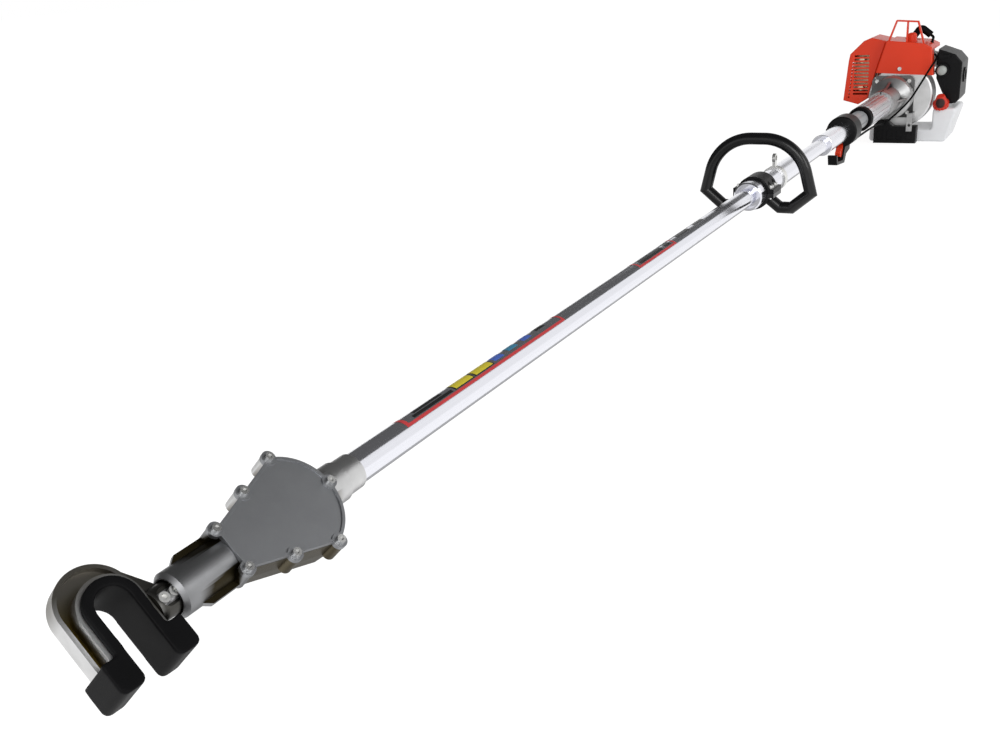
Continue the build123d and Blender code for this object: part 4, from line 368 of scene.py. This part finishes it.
def drawn_tube(name, colour, roughness):
    """Drawn tube: fine streaks along the pole."""
    material, tree, shader, place = new_finish(name)
    shader.inputs["Metallic"].default_value = 1.0
    stretch = tree.nodes.new("ShaderNodeMapping")
    stretch.inputs["Scale"].default_value = (1.2, 700, 700)
    tree.links.new(place, stretch.inputs["Vector"])
    lines = noise(tree, stretch.outputs["Vector"], 1.0, 4.0)
    tone = two_tone(tree, lines, [c * 0.88 for c in colour], colour)
    tree.links.new(tone, shader.inputs["Base Color"])
    tree.links.new(span(tree, lines, 0, 1, roughness - 0.05, roughness + 0.05), shader.inputs["Roughness"])
    roughen(tree, shader, lines, 0.05, 0.0002)
    return material


bright_tube = drawn_tube("bright_tube", (0.84, 0.845, 0.9), 0.16)
for node in ("pole_tube", "handle_sleeve", "grip_sleeve"):
    dress(nodes[node], bright_tube)
satin_tube = drawn_tube("satin_tube", (0.78, 0.78, 0.8), 0.4)
dress(nodes["damper_collar"], satin_tube)

# Pole labels: two clear films with a thin red frame, printed with plain blocks of colour,
# stuck on the upper side of the tube. The print is a few hundredths of a millimetre thick.
POLE_R = 0.014
PRINT_LIFT = 0.00004
PRINT = 0.00006


def printed_block(front, back, low, high, layer):
    """One block of ink on the tube, between two stations and two angles round the pole's axis."""
    bpy.ops.object.select_all(action="DESELECT")
    radius = POLE_R + PRINT_LIFT + layer * PRINT
    bpy.ops.mesh.primitive_cylinder_add(
        vertices=144, radius=radius, depth=back - front, end_fill_type="NOTHING",
        location=((front + back) / 2, 0, 0), rotation=(0, pi / 2, 0),
    )
    bpy.ops.object.transform_apply(location=True, rotation=True, scale=True)
    bpy.ops.object.mode_set(mode="EDIT")
    for angle, inner in ((low, True), (high, False)):
        bpy.ops.mesh.select_all(action="SELECT")
        turn = (0, -sin(radians(angle)), cos(radians(angle)))
        bpy.ops.mesh.bisect(plane_co=(0, 0, 0), plane_no=turn, clear_inner=inner, clear_outer=not inner)
    bpy.ops.mesh.select_all(action="SELECT")
    bpy.ops.mesh.normals_make_consistent(inside=False)
    bpy.ops.object.mode_set(mode="OBJECT")
    block = bpy.context.object
    block.modifiers.new("ink", "SOLIDIFY").thickness = PRINT
    block.modifiers["ink"].offset = 1.0
    bpy.ops.object.modifier_apply(modifier="ink")
    bpy.ops.object.shade_smooth_by_angle(angle=radians(30))
    return block


def printed_label(name, blocks):
    """Joins the blocks of one label; each block is front, back, low angle, high angle, layer, ink."""
    pieces = []
    for front, back, low, high, layer, ink in blocks:
        block = printed_block(front, back, low, high, layer)
        block.data.materials.append(ink)
        pieces.append(block)
    pick(*pieces)
    bpy.ops.object.join()
    label = bpy.context.object
    label.name = name
    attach(label, nodes["pole_tube"]["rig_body"])


def printed_ink(name, colour):
    """Screen ink under a clear film: slightly uneven colour and a glossy face."""
    material, tree, shader, place = new_finish(name)
    shader.inputs["Roughness"].default_value = 0.3
    cover = noise(tree, place, 220.0)
    tone = two_tone(tree, cover, [c * 0.85 for c in colour], [min(1, c * 1.08) for c in colour])
    tree.links.new(tone, shader.inputs["Base Color"])
    return material


red_ink = printed_ink("red_ink", (0.52, 0.045, 0.05))
black_ink = printed_ink("black_ink", (0.012, 0.012, 0.012))
yellow_ink = printed_ink("yellow_ink", (0.62, 0.52, 0.03))
blue_ink = printed_ink("blue_ink", (0.06, 0.13, 0.5))
teal_ink = printed_ink("teal_ink", (0.04, 0.22, 0.36))
printed_label("front_label", (
    (0.073, 0.359, 118.0, 131.0, 0, red_ink), (0.073, 0.359, 20.0, 33.0, 0, red_ink),
    (0.069, 0.0735, 20.0, 131.0, 1, red_ink), (0.3575, 0.361, 20.0, 131.0, 1, red_ink),
    (0.084, 0.146, 98.0, 113.0, 0, black_ink), (0.09, 0.134, 72.0, 92.0, 0, black_ink),
    (0.15, 0.183, 62.0, 114.0, 0, black_ink), (0.152, 0.1815, 64.0, 110.0, 1, yellow_ink),
    (0.185, 0.219, 62.0, 114.0, 0, black_ink), (0.187, 0.2175, 64.0, 110.0, 1, yellow_ink),
    (0.224, 0.241, 62.0, 106.0, 0, blue_ink), (0.252, 0.27, 62.0, 102.0, 0, teal_ink),
    (0.282, 0.298, 62.0, 102.0, 0, blue_ink), (0.312, 0.331, 62.0, 94.0, 0, black_ink),
))
printed_label("rear_label", (
    (0.566, 0.68, 118.0, 131.0, 0, red_ink), (0.566, 0.68, 20.0, 33.0, 0, red_ink),
    (0.563, 0.567, 20.0, 131.0, 1, red_ink), (0.678, 0.682, 20.0, 131.0, 1, red_ink),
    (0.575, 0.645, 84.0, 114.0, 0, black_ink), (0.655, 0.672, 70.0, 112.0, 0, black_ink),
    (0.7, 0.745, 72.0, 104.0, 0, black_ink), (0.765, 0.8, 72.0, 98.0, 0, black_ink),
))

# Black mouldings: glass-filled nylon for handle, throttle, filter, stand and starter grip.
# The mould leaves a fine spark texture and a soft sheen.


def moulded_plastic(name, colour, roughness, grain, depth, coat):
    """Moulded plastic: an even colour with faint flow clouds and a fine mould texture."""
    material, tree, shader, place = new_finish(name)
    shader.inputs["Coat Weight"].default_value = coat * 0.4
    shader.inputs["Coat Roughness"].default_value = 0.12
    shader.inputs["Specular IOR Level"].default_value = coat
    flow = noise(tree, place, 14.0, 4.0)
    tone = two_tone(tree, flow, [c * 0.86 for c in colour], [min(1, c * 1.1) for c in colour])
    tree.links.new(tone, shader.inputs["Base Color"])
    tree.links.new(span(tree, flow, 0, 1, roughness - 0.05, roughness + 0.05), shader.inputs["Roughness"])
    roughen(tree, shader, noise(tree, place, grain), depth, 0.0002)
    return material


black_nylon = moulded_plastic("black_nylon", (0.005, 0.005, 0.0055), 0.4, 1500, 0.15, 0.12)
for node in (
    "handle_clamp", "throttle_body", "air_filter_base", "engine_stand", "filter_knob", "starter_grip", "stop_switch",
    "choke_lever",
):
    dress(nodes[node], black_nylon)
gloss_black = moulded_plastic("gloss_black", (0.004, 0.004, 0.0045), 0.28, 1500, 0.1, 0.3)
dress(nodes["loop_handle"], gloss_black)
# Painted highlight: the filter cover's broken edges get a lighter grey plastic that stands for a glossy reflection
# on them.
edge_highlight_grey = moulded_plastic("edge_highlight_grey", (0.3, 0.31, 0.33), 0.4, 1500, 0.1, 0.3)
FILTER_EDGE = 0.0025
filter_lid = softened("air_filter_cover", FILTER_EDGE, edge_slot=1)
filter_lid.data.materials.clear()
filter_lid.data.materials.append(black_nylon)
filter_lid.data.materials.append(edge_highlight_grey)
for node in ("buffer_ring", "plug_boot", "ignition_lead"):
    dress(nodes[node], black_rubber)

# Throttle cable: a steel wire in a black sleeve, held by the shield under the pole and by the clamp
# beside the stand, from where it runs straight up to the carburettor lever.
CABLE_R = 0.0023
CABLE_LINE = (
    (1.6247, 0.0, -0.0355), (1.6947, 0.0, -0.0355), (1.901, 0.0, -0.0385), (1.985, 0.002, -0.0505),
    (2.028, 0.008, -0.06), (2.034, -0.044, -0.01), (2.042, -0.066, 0.03), (2.07, -0.084, 0.07),
    (2.088, -0.092, 0.084), (2.108, -0.087, 0.091), (2.125, -0.077, 0.092), (2.138, -0.077, 0.092),
)
wire = bpy.data.curves.new("throttle_cable_form", "CURVE")
wire.dimensions = "3D"
run = wire.splines.new("NURBS")
run.points.add(len(CABLE_LINE) - 1)
for point, spot in zip(run.points, CABLE_LINE):
    point.co = (*spot, 1)
run.order_u = 3
run.use_endpoint_u = True
wire.resolution_u = 12
wire.bevel_depth = CABLE_R
wire.bevel_resolution = 4
wire.use_fill_caps = True
cable = bpy.data.objects.new("throttle_cable_form", wire)
bpy.context.scene.collection.objects.link(cable)
pick(cable)
bpy.ops.object.convert(target="MESH")
bpy.ops.object.shade_smooth_by_angle(angle=radians(50))
cable = bpy.context.object
cable.data.materials.clear()
cable.data.materials.append(black_rubber)
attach(cable, nodes["throttle_cable"]["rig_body"])
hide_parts("throttle_cable")

# Red covers: glossy moulded nylon, screwed over the cylinder. The upright frame on top and the trigger
# are moulded in the same red.
red_nylon = moulded_plastic("red_nylon", (0.74, 0.042, 0.01), 0.36, 1100, 0.08, 0.3)
for node in ("guard_frame", "throttle_trigger"):
    dress(nodes[node], red_nylon)
COVER_EDGE = 0.0014
engine_cover = softened("cylinder_cover", COVER_EDGE)
dress(engine_cover, red_nylon)

# Muffler guard: the same red nylon, pierced by slots in front and a row of small holes along its outer edge
# that let the heat out.
HOLE_R = 0.0021
HOLE_PITCH = 0.0082
HOLE_COUNT = 11
HOLE_DEPTH = 0.012
HOLE_START = (0.109, -0.004)
HOLE_LEAN = 0.09
GUARD_FACE = 2.1
GUARD_BACK = 2.1898
GRIP_ROOM = 0.0005
holes = []
for step in range(HOLE_COUNT):
    rise = HOLE_START[1] + HOLE_PITCH * step
    bpy.ops.object.select_all(action="DESELECT")
    bpy.ops.mesh.primitive_cylinder_add(
        vertices=14, radius=HOLE_R, depth=HOLE_DEPTH, rotation=(0, pi / 2, 0),
        location=(GUARD_FACE, HOLE_START[0] - HOLE_LEAN * rise, rise),
    )
    bpy.ops.object.transform_apply(location=True, rotation=True, scale=True)
    holes.append(bpy.context.object)
pick(*holes)
bpy.ops.object.join()
punch = bpy.context.object
heat_guard = softened("muffler_guard", COVER_EDGE)
pierced = heat_guard.modifiers.new("pierced", "BOOLEAN")
pierced.object = punch
pierced.operation = "DIFFERENCE"
pick(heat_guard)
bpy.ops.object.modifier_apply(modifier="pierced")
bpy.data.objects.remove(punch)
bpy.ops.object.mode_set(mode="EDIT")
bpy.ops.mesh.select_mode(type="VERT")
bpy.ops.mesh.select_all(action="DESELECT")
bpy.ops.object.mode_set(mode="OBJECT")
for corner in heat_guard.data.vertices:
    corner.select = corner.co.x > GUARD_BACK
bpy.ops.object.mode_set(mode="EDIT")
bpy.ops.transform.translate(value=(-GRIP_ROOM, 0, 0))
bpy.ops.object.mode_set(mode="OBJECT")
dress(heat_guard, red_nylon)

# Fuel cap: moulded red nylon with a grip skirt, screwed on the tank's neck.
# A dark breather valve sits in its sloping front.
VALVE_SPOT = (2.07, -0.11, -0.016)
VALVE_R = 0.0105
VALVE_BLUR = 0.003
cap_red = moulded_plastic("cap_red", (0.62, 0.03, 0.012), 0.4, 1100, 0.08, 0.3)
cap_tree = cap_red.node_tree
cap_shader = cap_tree.nodes["Principled BSDF"]
cap_away = cap_tree.nodes.new("ShaderNodeVectorMath")
cap_away.operation = "DISTANCE"
cap_away.inputs[1].default_value = VALVE_SPOT
cap_tree.links.new(cap_tree.nodes.new("ShaderNodeTexCoord").outputs["Object"], cap_away.inputs[0])
cap_dark = span(cap_tree, cap_away.outputs["Value"], VALVE_R, VALVE_R + VALVE_BLUR, 1, 0)
cap_base = cap_shader.inputs["Base Color"].links[0].from_socket
cap_tree.links.new(lay_over(cap_tree, cap_base, (0.03, 0.008, 0.006), cap_dark), cap_shader.inputs["Base Color"])
dress(nodes["fuel_cap"], cap_red)

# Engine castings: grey die-cast aluminium for clutch housing, fan housing, crankcase, cylinder
# and starter cover, with rounded edges from the die; the corners of the clutch and fan housings are darkened as
# painted shade.
# The muffler is pressed steel, tanned by heat.
ENGINE_EDGE = 0.0012
ENGINE_SHADE_REACH = 0.025
die_cast = cast_metal("die_cast", (0.74, 0.74, 0.74), (0.07, 0.07, 0.07), 0.46, 600, 0.3, 0.85)
dull_cast = cast_metal("dull_cast", (0.5, 0.5, 0.5), (0.06, 0.06, 0.06), 0.48, 600, 0.4, 0.75)
# Painted shade in the hollows of the clutch and fan housings.
for node, finish in (("clutch_housing", dull_cast), ("fan_housing", die_cast)):
    casting = softened(node, ENGINE_EDGE)
    paint_hollow_shade(casting, ENGINE_SHADE_REACH)
    dress(casting, finish)
for node in ("crankcase", "cylinder", "starter_cover", "carburettor"):
    dress(nodes[node], die_cast)
heated_steel = plated_steel("heated_steel", (0.85, 0.7, 0.5), 0.42)
dress(nodes["muffler"], heated_steel)

# Fuel tank: blow-moulded natural polyethylene, milky white. The cable shield and shaft bushes
# are grey mouldings, the primer a clear soft bulb.
tank_white = moulded_plastic("tank_white", (0.83, 0.84, 0.86), 0.38, 500, 0.06, 0.4)
dress(nodes["fuel_tank"], tank_white)
shield_grey = moulded_plastic("shield_grey", (0.36, 0.37, 0.38), 0.4, 900, 0.1, 0.3)
for node in ("cable_shield", "shaft_bushes"):
    dress(nodes[node], shield_grey)
primer_rubber = moulded_plastic("primer_rubber", (0.4, 0.42, 0.4), 0.25, 400, 0.03, 0.3)
dress(nodes["primer_bulb"], primer_rubber)

# Studio: a white floor level with the stand's foot, a white surround and soft boxes on the near side.
# A bent black card over the far side gives polished metal its dark streak; only reflections see it.
FLOOR_REACH = 40.0
CARD_NEAR = -4.0
CARD_FAR = 7.4
CARD_EDGE = -1.3
CARD_WING = 2.1
CARD_REACH = -3.6
CARD_HEIGHT = 2.2
CARD_BACK = 3.2
STRIP_MIDDLE = (1.1, 0.16)
STRIP_LENGTH = 2.5
STRIP_WIDTH = 0.38
floor_level = cad_box[0][2]
bpy.ops.object.select_all(action="DESELECT")
bpy.ops.mesh.primitive_plane_add(size=2 * FLOOR_REACH, location=(1.0, 0.0, floor_level))
floor = bpy.context.object
floor.name = "floor"
bpy.ops.object.transform_apply(location=True, rotation=False, scale=False)
white_floor = bpy.data.materials.new("white_floor")
white_floor.use_nodes = True
ground = white_floor.node_tree
matt = ground.nodes["Principled BSDF"]
matt.inputs["Base Color"].default_value = (0.9, 0.9, 0.9, 1)
matt.inputs["Roughness"].default_value = 0.9
matt.inputs["Specular IOR Level"].default_value = 0.1
glow = ground.nodes.new("ShaderNodeEmission")
glow.inputs["Strength"].default_value = 0.84
veil = ground.nodes.new("ShaderNodeBsdfDiffuse")
veil.inputs["Color"].default_value = (0.34, 0.34, 0.34, 1)
sweep = ground.nodes.new("ShaderNodeAddShader")
ground.links.new(glow.outputs["Emission"], sweep.inputs[0])
ground.links.new(veil.outputs["BSDF"], sweep.inputs[1])


def sees_backdrop(tree):
    """One for rays that look at the backdrop straight, in a mirror or through glass."""
    rays = tree.nodes.new("ShaderNodeLightPath")
    mirror = tree.nodes.new("ShaderNodeMath")
    mirror.operation = "MAXIMUM"
    tree.links.new(rays.outputs["Is Camera Ray"], mirror.inputs[0])
    tree.links.new(rays.outputs["Is Glossy Ray"], mirror.inputs[1])
    glass = tree.nodes.new("ShaderNodeMath")
    glass.operation = "MAXIMUM"
    tree.links.new(mirror.outputs["Value"], glass.inputs[0])
    tree.links.new(rays.outputs["Is Transmission Ray"], glass.inputs[1])
    return glass.outputs["Value"]


either = ground.nodes.new("ShaderNodeMixShader")
ground.links.new(sees_backdrop(ground), either.inputs["Fac"])
ground.links.new(matt.outputs["BSDF"], either.inputs[1])
ground.links.new(sweep.outputs["Shader"], either.inputs[2])
ground.links.new(either.outputs["Shader"], ground.nodes["Material Output"].inputs["Surface"])
floor.data.materials.append(white_floor)

bpy.ops.object.select_all(action="DESELECT")
card_middle = ((CARD_NEAR + CARD_FAR) / 2, (CARD_EDGE + CARD_BACK) / 2, CARD_HEIGHT)
bpy.ops.mesh.primitive_plane_add(size=1, location=card_middle)
card = bpy.context.object
card.name = "black_card"
card.scale = (CARD_FAR - CARD_NEAR, CARD_BACK - CARD_EDGE, 1)
bpy.ops.object.transform_apply(location=True, rotation=False, scale=True)
bpy.ops.object.mode_set(mode="EDIT")
bpy.ops.mesh.select_all(action="DESELECT")
bpy.ops.object.mode_set(mode="OBJECT")
for edge in card.data.edges:
    edge.select = all(card.data.vertices[v].co.y > CARD_BACK - 0.01 for v in edge.vertices)
bpy.ops.object.mode_set(mode="EDIT")
bpy.ops.mesh.select_mode(type="EDGE")
bpy.ops.mesh.extrude_edges_move(TRANSFORM_OT_translate={"value": (0, 0, floor_level + 0.02 - CARD_HEIGHT)})
bpy.ops.mesh.select_all(action="SELECT")
bpy.ops.mesh.bisect(plane_co=(CARD_WING, 0, 0), plane_no=(1, 0, 0))
bpy.ops.object.mode_set(mode="OBJECT")
for edge in card.data.edges:
    ends = [card.data.vertices[v].co for v in edge.vertices]
    edge.select = all(end.y < CARD_EDGE + 0.01 and end.x < CARD_WING + 0.01 for end in ends)
bpy.ops.object.mode_set(mode="EDIT")
bpy.ops.mesh.extrude_edges_move(TRANSFORM_OT_translate={"value": (0, CARD_REACH - CARD_EDGE, 0)})
bpy.ops.object.mode_set(mode="OBJECT")


def unseen_but_mirrored(card, name, colour, glow, roughness=0.5):
    """A studio card that only reflections see, with a faint glow of its own."""
    card.visible_camera = False
    card.visible_diffuse = False
    card.visible_shadow = False
    paper = bpy.data.materials.new(name)
    paper.use_nodes = True
    face = paper.node_tree.nodes["Principled BSDF"]
    face.inputs["Base Color"].default_value = (*colour, 1)
    face.inputs["Roughness"].default_value = roughness
    face.inputs["Emission Color"].default_value = (1, 1, 1, 1)
    face.inputs["Emission Strength"].default_value = glow
    card.data.materials.append(paper)


unseen_but_mirrored(card, "card_black", (0.02, 0.02, 0.02), 0.09, 0.95)

bpy.ops.object.select_all(action="DESELECT")
bpy.ops.mesh.primitive_plane_add(size=1, location=(*STRIP_MIDDLE, floor_level + 0.001))
strip = bpy.context.object
strip.name = "grey_card"
strip.scale = (STRIP_LENGTH, STRIP_WIDTH, 1)
bpy.ops.object.transform_apply(location=True, rotation=False, scale=True)
unseen_but_mirrored(strip, "card_grey", (0.1, 0.1, 0.1), 0.35)

world = bpy.data.worlds.new("studio")
bpy.context.scene.world = world
world.use_nodes = True
sky = world.node_tree
surround = sky.nodes["Background"]
seen = sky.nodes.new("ShaderNodeMix")
seen.data_type = "RGBA"
seen.inputs["A"].default_value = (0.5, 0.5, 0.5, 1)
seen.inputs["B"].default_value = (1, 1, 1, 1)
sky.links.new(sees_backdrop(sky), seen.inputs["Factor"])
sky.links.new(seen.outputs["Result"], surround.inputs["Color"])
surround.inputs["Strength"].default_value = 1.0


def softbox(name, spot, aim, width, tall, power):
    """A rectangular soft light aimed at a point of the object."""
    lamp = bpy.data.lights.new(name, "AREA")
    lamp.shape = "RECTANGLE"
    lamp.size = width
    lamp.size_y = tall
    lamp.energy = power
    holder = bpy.data.objects.new(name, lamp)
    bpy.context.scene.collection.objects.link(holder)
    holder.location = spot
    holder.rotation_euler = (Vector(aim) - Vector(spot)).to_track_quat("-Z", "Y").to_euler()


softbox("front_box", (-2.4, -1.4, 1.9), (0.6, 0.0, 0.0), 2.2, 1.6, 62)
softbox("engine_box", (0.4, -3.0, 1.6), (2.1, 0.0, 0.0), 1.6, 1.6, 34)

# Camera: a standard lens on the hook side, above the pole and to its right,
# fitted to the vanishing point of the pole in the photo.
CAMERA_SPOT = (-0.5482, -0.5152, 0.3779)
CAMERA_RIGHT = Vector((0.5191, -0.8508, -0.0820)).normalized()
CAMERA_FORWARD = Vector((0.7725, 0.5081, -0.3809)).normalized()
camera_up = CAMERA_RIGHT.cross(CAMERA_FORWARD)
eye = bpy.data.cameras.new("photo_camera")
eye.sensor_fit = "HORIZONTAL"
eye.sensor_width = 36.0
eye.lens = 36.0
eye.clip_end = 100.0
camera = bpy.data.objects.new("photo_camera", eye)
bpy.context.scene.collection.objects.link(camera)
axes = Matrix((CAMERA_RIGHT, camera_up, -CAMERA_FORWARD)).transposed().to_4x4()
camera.matrix_world = Matrix.Translation(CAMERA_SPOT) @ axes
bpy.context.scene.camera = camera
bpy.context.scene.view_settings.view_transform = "Standard"
